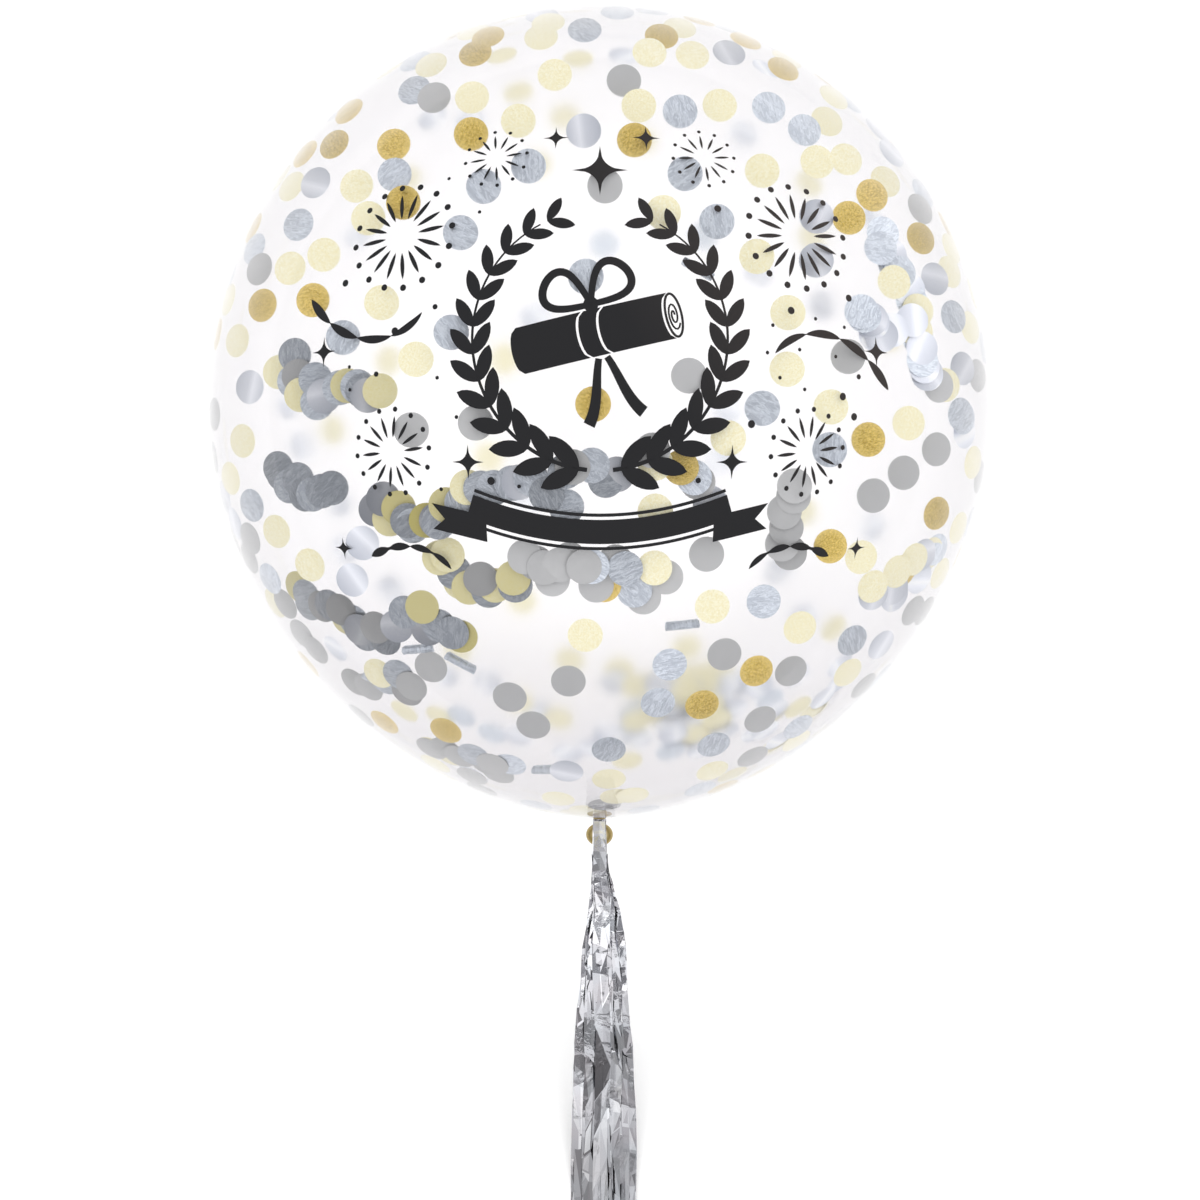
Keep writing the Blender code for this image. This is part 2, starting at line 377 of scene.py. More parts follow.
def join_rings(shape, near, far):
    """Lays faces between two rings of vertices; a ring of one vertex is a pole."""
    count = max(len(near), len(far))
    faces = []
    for step in range(count):
        after = (step + 1) % count
        if len(near) == 1:
            corners = [near[0], far[step], far[after]]
        elif len(far) == 1:
            corners = [near[after], near[step], far[0]]
        else:
            corners = [near[after], near[step], far[step], far[after]]
        faces.append(shape.faces.new(corners))
    return faces


# The balloon's wall

def wall_radius(y):
    """The balloon's outer radius at a place along its axis."""
    if y >= 0:
        share = min(1.0, y / CROWN_REACH)
        return RADIUS * math.sqrt(1 - share ** 2)
    share = min(1.0, -y / NECK_REACH)
    return RADIUS * (1 - share ** NECK_SIDE_LENGTH_POWER) ** (1 / NECK_SIDE_WIDTH_POWER)


def wall_normal(y, angle):
    """The outward normal of the wall; the angle is 0 at the front and turns towards +X."""
    if y >= 0:
        across = wall_radius(y) / RADIUS ** 2
        along = y / CROWN_REACH ** 2
    else:
        share = min(1.0, -y / NECK_REACH)
        width_power = NECK_SIDE_WIDTH_POWER
        length_power = NECK_SIDE_LENGTH_POWER
        across = width_power * (wall_radius(y) / RADIUS) ** (width_power - 1) / RADIUS
        along = -length_power * share ** (length_power - 1) / NECK_REACH
    return Vector((across * math.sin(angle), along, across * math.cos(angle))).normalized()


def wall_point(y, angle, lift=0.0):
    """A point on the outer wall, or above it by the lift."""
    radius = wall_radius(y)
    point = Vector((radius * math.sin(angle), y, AXIS_HEIGHT + radius * math.cos(angle)))
    return point + wall_normal(y, angle) * lift


def photo_scale():
    """Metres for each pixel of the photograph, in the plane through the balloon's axis."""
    seen_radius = RADIUS * CAMERA_DISTANCE / math.sqrt(CAMERA_DISTANCE ** 2 - RADIUS ** 2)
    return 2 * seen_radius / BALLOON_WIDTH_PX


METRES_PER_PX = photo_scale()
CAMERA_X = (PHOTO_SIZE / 2 - BALLOON_MIDDLE_PX[0]) * METRES_PER_PX
CAMERA_Y = (BALLOON_MIDDLE_PX[1] - PHOTO_SIZE / 2) * METRES_PER_PX


def place_in_photo(px, py):
    """Where on the front wall a pixel of the photograph lies: its y and its angle."""
    rounds = 12
    short = 0.998
    height = 0.0
    for _ in range(rounds):
        scale = METRES_PER_PX * (CAMERA_DISTANCE - height) / CAMERA_DISTANCE
        y = CAMERA_Y + (PHOTO_SIZE / 2 - py) * scale
        y = clamp(y, -NECK_REACH * short, CROWN_REACH * short)
        radius = wall_radius(y)
        x = clamp(CAMERA_X + (px - PHOTO_SIZE / 2) * scale, -radius, radius)
        height = math.sqrt(max(0.0, radius ** 2 - x ** 2))
    return y, math.atan2(x, height)


# Camera, floor and light

def add_camera():
    """The camera at the photograph's viewing angle."""
    camera = bpy.data.objects.new("camera", bpy.data.cameras.new("camera"))
    camera.location = (CAMERA_X, CAMERA_Y, AXIS_HEIGHT + CAMERA_DISTANCE)
    camera.data.sensor_width = SENSOR_WIDTH
    camera.data.lens = SENSOR_WIDTH * CAMERA_DISTANCE / (PHOTO_SIZE * METRES_PER_PX)
    bpy.context.scene.collection.objects.link(camera)
    bpy.context.scene.camera = camera


def add_floor():
    """A plain white floor that glows faintly."""
    material, tree = new_material("white_floor")
    grain = tree.noise(tree.object_place(), 30.0)
    colour = tree.mix(grain, (0.93, 0.93, 0.935), (0.95, 0.95, 0.95))
    finish_material(tree, {"Base Color": colour, "Roughness": 0.9, "Specular IOR Level": 0.1,
                           "Emission Color": (1, 1, 1, 1), "Emission Strength": FLOOR_GLOW})
    shape = bmesh.new()
    corners = [(x * FLOOR_REACH, y * FLOOR_REACH) for x, y in ((-1, -1), (1, -1), (1, 1), (-1, 1))]
    shape.faces.new([shape.verts.new((x, y, -FLOOR_DROP)) for x, y in corners])
    floor = place_object("floor", shape, material)


def add_light():
    """A bright white room that is greyer low down."""
    world = bpy.data.worlds.new("studio")
    bpy.context.scene.world = world
    world.use_nodes = True
    world.node_tree.nodes.clear()
    tree = Tree(world.node_tree)
    place = tree.node("ShaderNodeTexCoord", output="Generated")
    height = tree.node("ShaderNodeSeparateXYZ", {}, {0: place}, "Z")
    glow = tree.ramp(height, (0.0, 0.26), (0.30, 0.42), (0.52, 1.04),
                     (0.80, 1.06), (0.95, 0.60), (1.0, 0.54))
    patches = tree.ramp(tree.noise(place, 1.6, 0.0), (0.35, 0.78), (0.62, 1.06))
    sky = tree.node("ShaderNodeBackground", {}, {
        "Color": tree.multiply(glow, patches), "Strength": ROOM_STRENGTH})
    tree.node("ShaderNodeOutputWorld", {}, {"Surface": sky})
    bpy.context.scene.view_settings.view_transform = "Standard"


# Skin

def skin_stations():
    """Places along the axis for the wall's rings, from the crown to the neck."""
    stations = []
    for step in range(1, CROWN_SIDE_RINGS + 1):
        stations.append(CROWN_REACH * math.cos(math.pi / 2 * step / CROWN_SIDE_RINGS))
    for step in range(1, NECK_SIDE_RINGS):
        y = -NECK_REACH * math.sin(math.pi / 2 * step / NECK_SIDE_RINGS)
        if wall_radius(y) > 2 * NECK_RADIUS:
            stations.append(y)
    return stations


def skin_wall(shape, depth):
    """One face of the skin, a depth inside its outer one, as rings with a pole at the crown."""
    faces_before = len(shape.faces)
    rings = [[shape.verts.new((0, CROWN_REACH - depth, AXIS_HEIGHT))]]
    for y in skin_stations():
        ring = []
        for side in range(SKIN_SIDES):
            point = wall_point(y, FULL_TURN * side / SKIN_SIDES, -depth)
            point.z = max(point.z, depth)
            ring.append(shape.verts.new(point))
        rings.append(ring)
    neck = []
    for side in range(SKIN_SIDES):
        angle = FULL_TURN * side / SKIN_SIDES
        radius = NECK_RADIUS - depth
        height = AXIS_HEIGHT + radius * math.cos(angle)
        neck.append(shape.verts.new((radius * math.sin(angle), NECK_ROOT_Y, height)))
    rings.append(neck)
    for near, far in zip(rings, rings[1:]):
        join_rings(shape, near, far)
    shape.faces.ensure_lookup_table()
    return neck, shape.faces[faces_before:]


def make_skin():
    """The blown-up latex with its two faces, flat where it lies."""
    shape = bmesh.new()
    outer_neck, outer_faces = skin_wall(shape, 0.0)
    inner_neck, inner_faces = skin_wall(shape, SKIN_THICKNESS)
    bmesh.ops.reverse_faces(shape, faces=outer_faces if points_inwards(outer_faces[0]) else inner_faces)
    join_rings(shape, outer_neck, inner_neck)
    for face in inner_faces:
        face.material_index = 1
    skin = place_object("skin", shape, clear_latex("clear_latex", OUTSIDE_HAZE))
    skin.data.materials.append(clear_latex("clear_latex_inside", INSIDE_HAZE))
    # So thin a film takes hardly any light from what is inside it or below it
    skin.visible_shadow = False
    skin.visible_diffuse = False
    skin.visible_glossy = False
    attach(skin, "root")
    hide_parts("balloon")


def points_inwards(face):
    """Whether a face of the balloon's wall points to its middle."""
    face.normal_update()
    return face.normal.dot(face.calc_center_median() - Vector((0, 0, AXIS_HEIGHT))) < 0


def clear_latex(name, haze_range):
    """Clear stretched latex: hazy, greyer seen aslant (partly its own tint over the longer path, partly
    painted shade at the rim) and low down, and amber at the neck.
    """
    material, tree = new_material(name)
    place = tree.object_place()
    least, most = haze_range
    haze = least + tree.noise(place, 9.0, 1.0) * (most - least)
    along = tree.node("ShaderNodeSeparateXYZ", {}, {0: place}, "Y")
    from_neck = tree.node("ShaderNodeVectorMath", {"operation": "DISTANCE"},
                          {0: place, 1: (0, NECK_ROOT_Y, AXIS_HEIGHT)}, "Value")
    amber = (1 - from_neck / AMBER_REACH).clamped() ** 1.5
    slant = tree.node("ShaderNodeLayerWeight", {}, {"Blend": 0.5}, "Facing")
    # Greyer seen aslant: partly the film's own tint over a longer path, partly painted shade at the rim
    clear = tree.mix(slant ** 2.0, (0.967, 0.960, 0.970), (0.60, 0.585, 0.605))
    near_neck = (along * -5.5 - 0.55).clamped()
    greyed = tree.multiply(clear, tree.mix(near_neck, (1.0, 1.0, 1.0), (0.93, 0.925, 0.93)))
    colour = tree.mix(amber, greyed, (0.93, 0.85, 0.70))
    clearer_aslant = tree.ramp(slant, (0.32, 1.0), (0.68, 0.12))
    shader = tree.node("ShaderNodeBsdfPrincipled", {"distribution": "GGX"}, {
        "Base Color": colour,
        "Roughness": haze * clearer_aslant,
        "IOR": FILM_BEND,
        "Transmission Weight": 1.0,
    })
    tree.node("ShaderNodeOutputMaterial", {}, {"Surface": shader})
    return material


# Neck, knot and rolled rim

def make_neck():
    """The tied neck in thick latex: a short creased tube, the round knot and the flat rolled rim."""
    shape = bmesh.new()
    add_neck_tube(shape)
    add_rim(shape)
    neck = place_object("neck", shape, amber_latex())
    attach(neck, "root")
    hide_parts("balloon")


def add_neck_tube(shape):
    """The creased neck, with the rolls of the knot below it."""
    profile = [(NECK_ROOT_Y + 0.006, 0.0072), (NECK_ROOT_Y + 0.003, 0.0054), (NECK_ROOT_Y, 0.0047),
               (LOOP_Y, 0.0044), (RIM_START_Y + 0.0006, 0.0045)]
    knot_steps = 12
    for step in range(knot_steps):
        angle = math.pi * (0.30 + 0.66 * step / knot_steps)
        swell = 1 + 0.05 * math.sin(3 * angle)
        profile.append((KNOT_Y + KNOT_RADIUS * math.cos(angle), KNOT_RADIUS * swell * math.sin(angle)))
    rings = [[shape.verts.new((0, profile[0][0], AXIS_HEIGHT))]]
    for y, radius in profile:
        ring = []
        for side in range(NECK_SIDES):
            angle = FULL_TURN * side / NECK_SIDES
            pleat = 1 + 0.045 * math.sin(9 * angle + 260 * y) + 0.03 * math.sin(5 * angle - 400 * y)
            reach = min(radius * pleat, KNOT_RADIUS)
            ring.append(shape.verts.new(
                (reach * math.sin(angle), y, AXIS_HEIGHT + reach * math.cos(angle))))
        rings.append(ring)
    rings.append([shape.verts.new((0, KNOT_Y - KNOT_RADIUS, AXIS_HEIGHT))])
    for near, far in zip(rings, rings[1:]):
        join_rings(shape, near, far)


def add_rim(shape):
    """The open end of the neck pressed flat: an oval of film with a thick rolled edge."""
    roll_steps = 16
    film_rings = 5
    middle_y = RIM_START_Y - RIM_HALF_LENGTH
    meet = math.asin(RIM_FILM_THICKNESS / 2 / RIM_ROLL_RADIUS)
    section = []
    for step in range(film_rings):
        section.append((1 - step / film_rings, 0, RIM_FILM_THICKNESS / 2))
    for step in range(roll_steps + 1):
        angle = (math.pi - meet) * (1 - 2 * step / roll_steps)
        inset = RIM_ROLL_RADIUS * (1 - math.cos(angle))
        section.append((0, inset, RIM_ROLL_RADIUS * math.sin(angle)))
    for step in range(film_rings - 1, -1, -1):
        section.append((1 - step / film_rings, 0, -RIM_FILM_THICKNESS / 2))
    rings = []
    for share, inset, height in section:
        if share == 1:
            rings.append([shape.verts.new((0, middle_y, AXIS_HEIGHT + height))])
            continue
        ring = []
        for side in range(RIM_SIDES):
            angle = FULL_TURN * side / RIM_SIDES
            waver = 1 + 0.035 * math.sin(3 * angle + 0.8) + 0.02 * math.sin(7 * angle)
            if share > 0:
                depth = 2 * RIM_ROLL_RADIUS
                reach_x = (RIM_HALF_WIDTH - depth) * (1 - share)
                reach_y = (RIM_HALF_LENGTH - depth) * (1 - share)
                crease = 0.0002 * math.sin(11 * angle) * (1 - share)
            else:
                reach_x = RIM_HALF_WIDTH - inset * waver
                reach_y = RIM_HALF_LENGTH - inset * waver
                crease = 0.0
            x = reach_x * math.cos(angle)
            y = middle_y + reach_y * math.sin(angle)
            ring.append(shape.verts.new((x, y, AXIS_HEIGHT + height + crease)))
        rings.append(ring)
    for near, far in zip(rings, rings[1:]):
        join_rings(shape, near, far)


def amber_latex():
    """Thick unstretched latex: amber and waxy, darker in the roll than in the film inside it."""
    material, tree = new_material("amber_latex")
    place = tree.object_place()
    mottle = tree.noise(place, 260.0, 3.0)
    streak = tree.noise(tree.stretched(place, (900.0, 160.0, 900.0)), 1.0, 2.0)
    middle = (0, RIM_START_Y - RIM_HALF_LENGTH, AXIS_HEIGHT)
    from_middle = tree.node("ShaderNodeVectorMath", {"operation": "DISTANCE"},
                            {0: place, 1: middle}, "Value")
    rolled = tree.ramp(from_middle / RIM_HALF_LENGTH, (0.62, 0.0), (0.78, 1.0))
    film = tree.mix(mottle, (0.66, 0.54, 0.27), (0.76, 0.64, 0.36))
    roll = tree.mix(mottle, (0.42, 0.31, 0.11), (0.52, 0.40, 0.16))
    colour = tree.mix(rolled, film, roll)
    finish_material(tree, {
        "Base Color": colour,
        "Roughness": 0.34 + streak * 0.16,
        "Subsurface Weight": 0.25,
        "Subsurface Radius": (0.004, 0.0025, 0.001),
        "Coat Weight": 0.3,
        "Coat Roughness": 0.2,
        "Normal": tree.bump(streak, 0.0003, 0.5),
    })
    return material


# Confetti

class Disc:
    """One confetti disc that lies against the wall, with a painted light value that darkens or pales its
    foil's colour.
    """

    def __init__(self, y, angle, kind, tone=1.0, tilt=0.0, turn=None):
        self.y = y
        self.angle = angle
        self.kind = kind
        self.tone = tone
        self.tilt = tilt
        self.turn = turn
        self.layer = 0
        self.centre = wall_point(y, angle)


# Where discs bunch up against the front wall: from, to and bow in pixels, how many, how far they
# stray in pixels, how much painted shade the foil there gets (above 1, painted light), and which mix of
# foils it is
BUNCHES = (
    ((270, 356), (372, 398), 14, 14, 17, 0.60, "slate"),
    ((262, 470), (326, 500), 4, 8, 10, 0.46, "slate"),
    ((364, 508), (440, 530), 4, 9, 13, 0.48, "slate"),
    ((440, 516), (566, 498), -14, 10, 15, 0.62, "slate"),
    ((430, 562), (520, 590), 6, 10, 14, 0.58, "slate"),
    ((520, 560), (668, 584), 8, 16, 17, 0.98, "grey"),
    ((556, 470), (622, 474), 0, 5, 8, 0.66, "slate"),
    ((290, 585), (394, 640), 8, 13, 12, 0.56, "slate"),
    ((404, 606), (462, 652), 4, 6, 10, 0.54, "slate"),
    ((350, 684), (414, 700), -6, 7, 9, 0.80, "grey"),
    ((424, 744), (512, 774), 8, 11, 11, 0.95, "grey"),
    ((884, 228), (928, 372), -12, 15, 9, 1.24, "pale"),
    ((862, 314), (902, 330), 0, 7, 10, 1.22, "pale"),
    ((932, 372), (958, 384), 0, 4, 7, 1.16, "bright"),
    ((968, 408), (976, 434), 0, 3, 5, 1.24, "pale"),
    ((874, 600), (946, 548), 6, 11, 11, 1.10, "bright"),
    ((216, 466), (312, 660), 10, 10, 6, 0.95, "grey"),
    ((640, 446), (722, 506), -6, 6, 14, 0.95, "bright"),
    ((794, 482), (800, 566), 8, 6, 9, 0.92, "grey"),
    ((566, 812), (640, 800), 0, 5, 5, 0.95, "grey"),
)

# Where discs have rolled themselves up, in pixels, and how far each bar is turned, in degrees
ROLLED = ((414, 655, 100), (457, 669, 62), (684, 630, 95), (547, 777, 98), (700, 266, 60),
          (372, 688, 70))

KINDS = ("pale_gold", "dark_gold", "crinkled_silver", "satin_silver", "grey_back")

# How often each kind of foil turns up in a mix, in the order of KINDS
MIXES = {
    "slate": (0.20, 0.03, 0.56, 0.13, 0.08),
    "grey": (0.12, 0.02, 0.12, 0.08, 0.66),
    "bright": (0.24, 0.08, 0.24, 0.38, 0.06),
    "pale": (0.10, 0.00, 0.34, 0.56, 0.00),
    "upper": (0.30, 0.24, 0.27, 0.11, 0.08),
    "lower": (0.26, 0.20, 0.14, 0.06, 0.34),
    "heap": (0.44, 0.00, 0.06, 0.50, 0.00),
}


def pick_kind(chance, mix):
    """Draws a kind of foil from a mix."""
    return chance.choices(KINDS, MIXES[mix])[0]


def bunched_discs(chance):
    """The discs that overlap in bunches on the front."""
    discs = []
    for start, end, bow, count, stray, tone, mix in BUNCHES:
        along = Vector(end) - Vector(start)
        across = Vector((-along.y, along.x)).normalized()
        for index in range(count):
            share = (index + chance.uniform(0.1, 0.9)) / count
            bowed = bow * 4 * share * (1 - share)
            sideways = across * (bowed + chance.uniform(-stray, stray))
            px, py = Vector(start) + along * share + sideways
            y, angle = place_in_photo(px, py)
            kind = pick_kind(chance, mix)
            # Painted shade or light: the bunch's value, stepped at random for each disc
            shade = clamp(tone + chance.uniform(*BUNCH_PAINTED_LIGHT_STEP), *BUNCH_PAINTED_LIGHT_RANGE)
            discs.append(Disc(y, angle, kind, shade, chance.uniform(0.0, BUNCH_TILT)))
    return discs


def open_front(point):
    """Whether a point is where hardly any disc clings."""
    nearer = (CAMERA_DISTANCE - (point.z - AXIS_HEIGHT)) / CAMERA_DISTANCE
    px = PHOTO_SIZE / 2 + (point.x - CAMERA_X) / METRES_PER_PX / nearer
    py = PHOTO_SIZE / 2 - (point.y - CAMERA_Y) / METRES_PER_PX / nearer
    across = (px - OPEN_FRONT_PX[0]) / OPEN_FRONT_REACH_PX[0]
    along = (py - OPEN_FRONT_PX[1]) / OPEN_FRONT_REACH_PX[1]
    return across ** 2 + along ** 2 < 1


def lone_discs(chance, taken, count, front):
    """Discs that cling on their own, spread evenly by keeping a distance."""
    discs = []
    tries = 0
    while len(discs) < count and tries < LONE_TRIES:
        tries += 1
        along = chance.uniform(-1, 1)
        y = along * (CROWN_REACH if along > 0 else NECK_REACH) * LONE_ALONG
        angle = chance.uniform(-math.pi / 2, math.pi / 2) * LONE_SIDEWAYS
        if not front:
            angle = math.pi + chance.uniform(-1, 1) * math.pi / 2 * LONE_SIDEWAYS_BEHIND
        point = wall_point(y, angle)
        if front and open_front(point) and chance.random() < OPEN_FRONT_LEFT_OUT:
            continue
        if not front and point.z < LOWEST_LONE:
            continue
        if any((point - other.centre).length < LONE_SPACING for other in taken + discs):
            continue
        mix = "heap" if not front else "upper" if y > 0 else "lower"
        # Discs on the far wall get painted light
        discs.append(Disc(y, angle, pick_kind(chance, mix), 1.0 if front else FAR_PAINTED_LIGHT))
    return discs


def heaped_discs(chance):
    """The loose discs that heap up on the lower wall, seen blurred through the skin."""
    discs = []
    for _ in range(HEAPED_DISCS):
        spread = abs(chance.gauss(0, 1))
        turn = chance.uniform(0, FULL_TURN)
        x = HEAP_MIDDLE[0] + HEAP_REACH[0] * spread * math.cos(turn)
        y = HEAP_MIDDLE[1] + HEAP_REACH[1] * spread * math.sin(turn)
        y = clamp(y, -HEAP_LIMIT, HEAP_LIMIT)
        angle = math.pi - math.asin(clamp(x / wall_radius(y), -0.9, 0.9))
        kind = pick_kind(chance, "heap")
        # Heaped discs get painted light, paler
        discs.append(Disc(y, angle, kind, FAR_PAINTED_LIGHT, chance.uniform(0.0, HEAP_TILT)))
    return discs


def rolled_discs():
    """A few discs that have rolled themselves up and show as narrow bars."""
    discs = []
    for px, py, degrees in ROLLED:
        y, angle = place_in_photo(px, py)
        discs.append(Disc(y, angle, "crinkled_silver", ROLLED_PAINTED_SHADE, turn=math.radians(degrees)))
    return discs


def settle_layers(discs):
    """Stacks each disc inside those that it overlaps."""
    for index, disc in enumerate(discs):
        near = {other.layer for other in discs[:index]
                if (disc.centre - other.centre).length < 2 * DISC_RADIUS}
        while disc.layer in near:
            disc.layer += 1


def confetti_tree():
    """Geometry nodes that lay a round foil disc on every point, bent to follow the wall."""
    group = bpy.data.node_groups.new("confetti", "GeometryNodeTree")
    group.interface.new_socket("Points", in_out="INPUT", socket_type="NodeSocketGeometry")
    for name, value in (("Disc radius", DISC_RADIUS), ("Foil thickness", DISC_THICKNESS),
                        ("Wall radius", RADIUS), ("Roll", FLAT_ROLL)):
        socket = group.interface.new_socket(name, in_out="INPUT", socket_type="NodeSocketFloat")
        socket.default_value = value
    for name, value in (("Sides", DISC_SIDES), ("Rings", 1)):
        socket = group.interface.new_socket(name, in_out="INPUT", socket_type="NodeSocketInt")
        socket.default_value = value
    group.interface.new_socket("Foil", in_out="INPUT", socket_type="NodeSocketMaterial")
    group.interface.new_socket("Discs", in_out="OUTPUT", socket_type="NodeSocketGeometry")
    tree = Tree(group)
    given = tree.node("NodeGroupInput", output="Points")
    cylinder = tree.node("GeometryNodeMeshCylinder", {"fill_type": "TRIANGLE_FAN"}, {
        "Vertices": given.out("Sides"), "Fill Segments": given.out("Rings"),
        "Radius": given.out("Disc radius"), "Depth": given.out("Foil thickness")})
    flat_edge = tree.node("GeometryNodeSetShadeSmooth", {}, {
        "Geometry": cylinder, "Selection": cylinder.out("Side"), "Shade Smooth": False})
    position = tree.node("GeometryNodeInputPosition")
    noted = tree.node("GeometryNodeStoreNamedAttribute", {"data_type": "FLOAT_VECTOR"}, {
        "Geometry": flat_edge, "Name": "place", "Value": position})
    disc = rolled_up(tree, noted, position, given.out("Roll"))
    facing = read_attribute(tree, "facing", "FLOAT_VECTOR")
    turn = read_attribute(tree, "turn", "FLOAT")
    aligned = tree.node("FunctionNodeAlignRotationToVector", {"axis": "Z"}, {"Vector": facing})
    turned = tree.node("FunctionNodeAxisAngleToRotation", {}, {"Axis": (0, 0, 1), "Angle": turn})
    rotation = tree.node("FunctionNodeRotateRotation", {"rotation_space": "LOCAL"},
                         {0: aligned, 1: turned})
    laid = tree.node("GeometryNodeInstanceOnPoints", {}, {
        "Points": given, "Instance": disc, "Rotation": rotation})
    real = tree.node("GeometryNodeRealizeInstances", {}, {"Geometry": laid})
    place = read_attribute(tree, "place", "FLOAT_VECTOR")
    flat_place = tree.node("ShaderNodeVectorMath", {"operation": "MULTIPLY"}, {0: place, 1: (1, 1, 0)})
    reach = tree.node("ShaderNodeVectorMath", {"operation": "LENGTH"}, {0: flat_place}, "Value")
    bend = reach * reach / (-2 * given.out("Wall radius"))
    offset = tree.node("ShaderNodeVectorMath", {"operation": "SCALE"}, {0: facing, "Scale": bend})
    bent = tree.node("GeometryNodeSetPosition", {}, {"Geometry": real, "Offset": offset})
    painted = tree.node("GeometryNodeSetMaterial", {}, {"Geometry": bent, "Material": given.out("Foil")})
    tree.node("NodeGroupOutput", {}, {"Discs": painted})
    return group


def rolled_up(tree, geometry, position, roll):
    """Rolls a flat disc about its own Y; the roll is one over the radius that it rolls to."""
    parts = tree.node("ShaderNodeSeparateXYZ", {}, {0: position}, "X")
    turn = parts * roll
    reach = 1 / roll + parts.out("Z")
    place = tree.node("ShaderNodeCombineXYZ", {}, {
        0: reach * turn.math("SINE", turn),
        1: parts.out("Y"),
        2: reach * turn.math("COSINE", turn) - 1 / roll})
    return tree.node("GeometryNodeSetPosition", {}, {"Geometry": geometry, "Position": place})


def read_attribute(tree, name, data_type):
    """Reads a named attribute inside a geometry tree."""
    return tree.node("GeometryNodeInputNamedAttribute", {"data_type": data_type}, {"Name": name})


def grow(name, mesh, group, values):
    """Runs a geometry tree on a mesh and keeps the result as a plain mesh object."""
    source = bpy.data.objects.new(name + "_points", mesh)
    bpy.context.scene.collection.objects.link(source)
    modifier = source.modifiers.new("grow", "NODES")
    modifier.node_group = group
    for socket in group.interface.items_tree:
        if socket.in_out == "INPUT" and socket.name in values:
            modifier[socket.identifier] = values[socket.name]
    graph = bpy.context.evaluated_depsgraph_get()
    evaluated = source.evaluated_get(graph)
    result = bpy.data.meshes.new_from_object(evaluated, preserve_all_data_layers=True, depsgraph=graph)
    source.modifiers.remove(modifier)
    bpy.data.objects.remove(source, do_unlink=True)
    result.name = name
    item = bpy.data.objects.new(name, result)
    bpy.context.scene.collection.objects.link(item)
    return item


def leaning(normal):
    """Which way a disc at the wall faces: near the balloon's edge it clings by one side and leans out."""
    slant = math.hypot(normal.x, normal.y)
    if normal.z <= 0 or slant == 0:
        return normal
    towards_neck = max(0.0, -normal.y / slant)
    less = slant ** (blend(LEAN_POWER, LEAN_POWER_AT_NECK, towards_neck) - 1)
    facing = Vector((normal.x * less, normal.y * less, 0))
    facing.z = math.sqrt(max(0.0, 1 - facing.length_squared))
    return facing


def disc_points(discs, chance):
    """A mesh with a point for each disc, and how the disc lies there."""
    mesh = bpy.data.meshes.new("disc_points")
    places = []
    facings = []
    for disc in discs:
        normal = wall_normal(disc.y, disc.angle)
        sideways = Vector((chance.uniform(-1, 1), chance.uniform(-1, 1), chance.uniform(-1, 1)))
        sideways = (sideways - normal * sideways.dot(normal)).normalized()
        facing = (leaning(normal) + sideways * math.tan(disc.tilt)).normalized()
        sunk = DISC_GAP + LAYER_STEP * disc.layer + DISC_RADIUS * math.sin(normal.angle(facing))
        place = disc.centre - normal * sunk
        place.z = max(place.z, DISC_GAP + LAYER_STEP * disc.layer)
        places.append(place)
        facings.append(facing)
    mesh.from_pydata(places, [], [])
    attribute = mesh.attributes.new("facing", "FLOAT_VECTOR", "POINT")
    attribute.data.foreach_set("vector", [number for facing in facings for number in facing])
    drawn = [chance.uniform(0, FULL_TURN) for _ in discs]
    for name, numbers in (
            ("turn", [turn if disc.turn is None else disc.turn for disc, turn in zip(discs, drawn)]),
            # Each disc's painted light goes along as an attribute
            ("tone", [disc.tone for disc in discs]),
            ("lot", [chance.random() for _ in discs])):
        attribute = mesh.attributes.new(name, "FLOAT", "POINT")
        attribute.data.foreach_set("value", numbers)
    return mesh


def make_confetti():
    """All the foil discs sealed in the balloon, one piece for each kind of foil."""
    chance = random.Random(CONFETTI_SEED)
    discs = bunched_discs(chance)
    discs += lone_discs(chance, discs, LONE_DISCS_IN_FRONT, True)
    discs += heaped_discs(chance)
    discs += lone_discs(chance, discs, LONE_DISCS_BEHIND, False)
    settle_layers(discs)
    group = confetti_tree()
    makers = {"pale_gold": pale_gold_foil, "dark_gold": dark_gold_foil,
              "crinkled_silver": crinkled_silver_foil, "satin_silver": satin_silver_foil,
              "grey_back": grey_foil}
    for kind in KINDS:
        mesh = disc_points([disc for disc in discs if disc.kind == kind], chance)
        foil = makers[kind]()
        item = grow(kind + "_confetti", mesh, group, {"Foil": foil})
        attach(item, "root")
        if kind == "crinkled_silver":
            rolled = disc_points(rolled_discs(), chance)
            values = {"Foil": foil, "Roll": ROLLED_UP, "Rings": ROLLED_RINGS}
            item = grow("rolled_confetti", rolled, group, values)
            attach(item, "root")


def disc_place(tree):
    """The place on a disc, shifted for each disc so that no two look alike."""
    place = tree.attribute("place", "Vector")
    lot = tree.attribute("lot")
    shift = tree.node("ShaderNodeCombineXYZ", {}, {2: lot * 3.0})
    return tree.node("ShaderNodeVectorMath", {"operation": "ADD"}, {0: place, 1: shift})


def edge_share(tree):
    """How near to its edge a place on a disc is: 0 at the middle and 1 at the edge."""
    place = tree.attribute("place", "Vector")
    reach = tree.node("ShaderNodeVectorMath", {"operation": "LENGTH"}, {0: place}, "Value")
    return (reach / DISC_RADIUS).clamped()


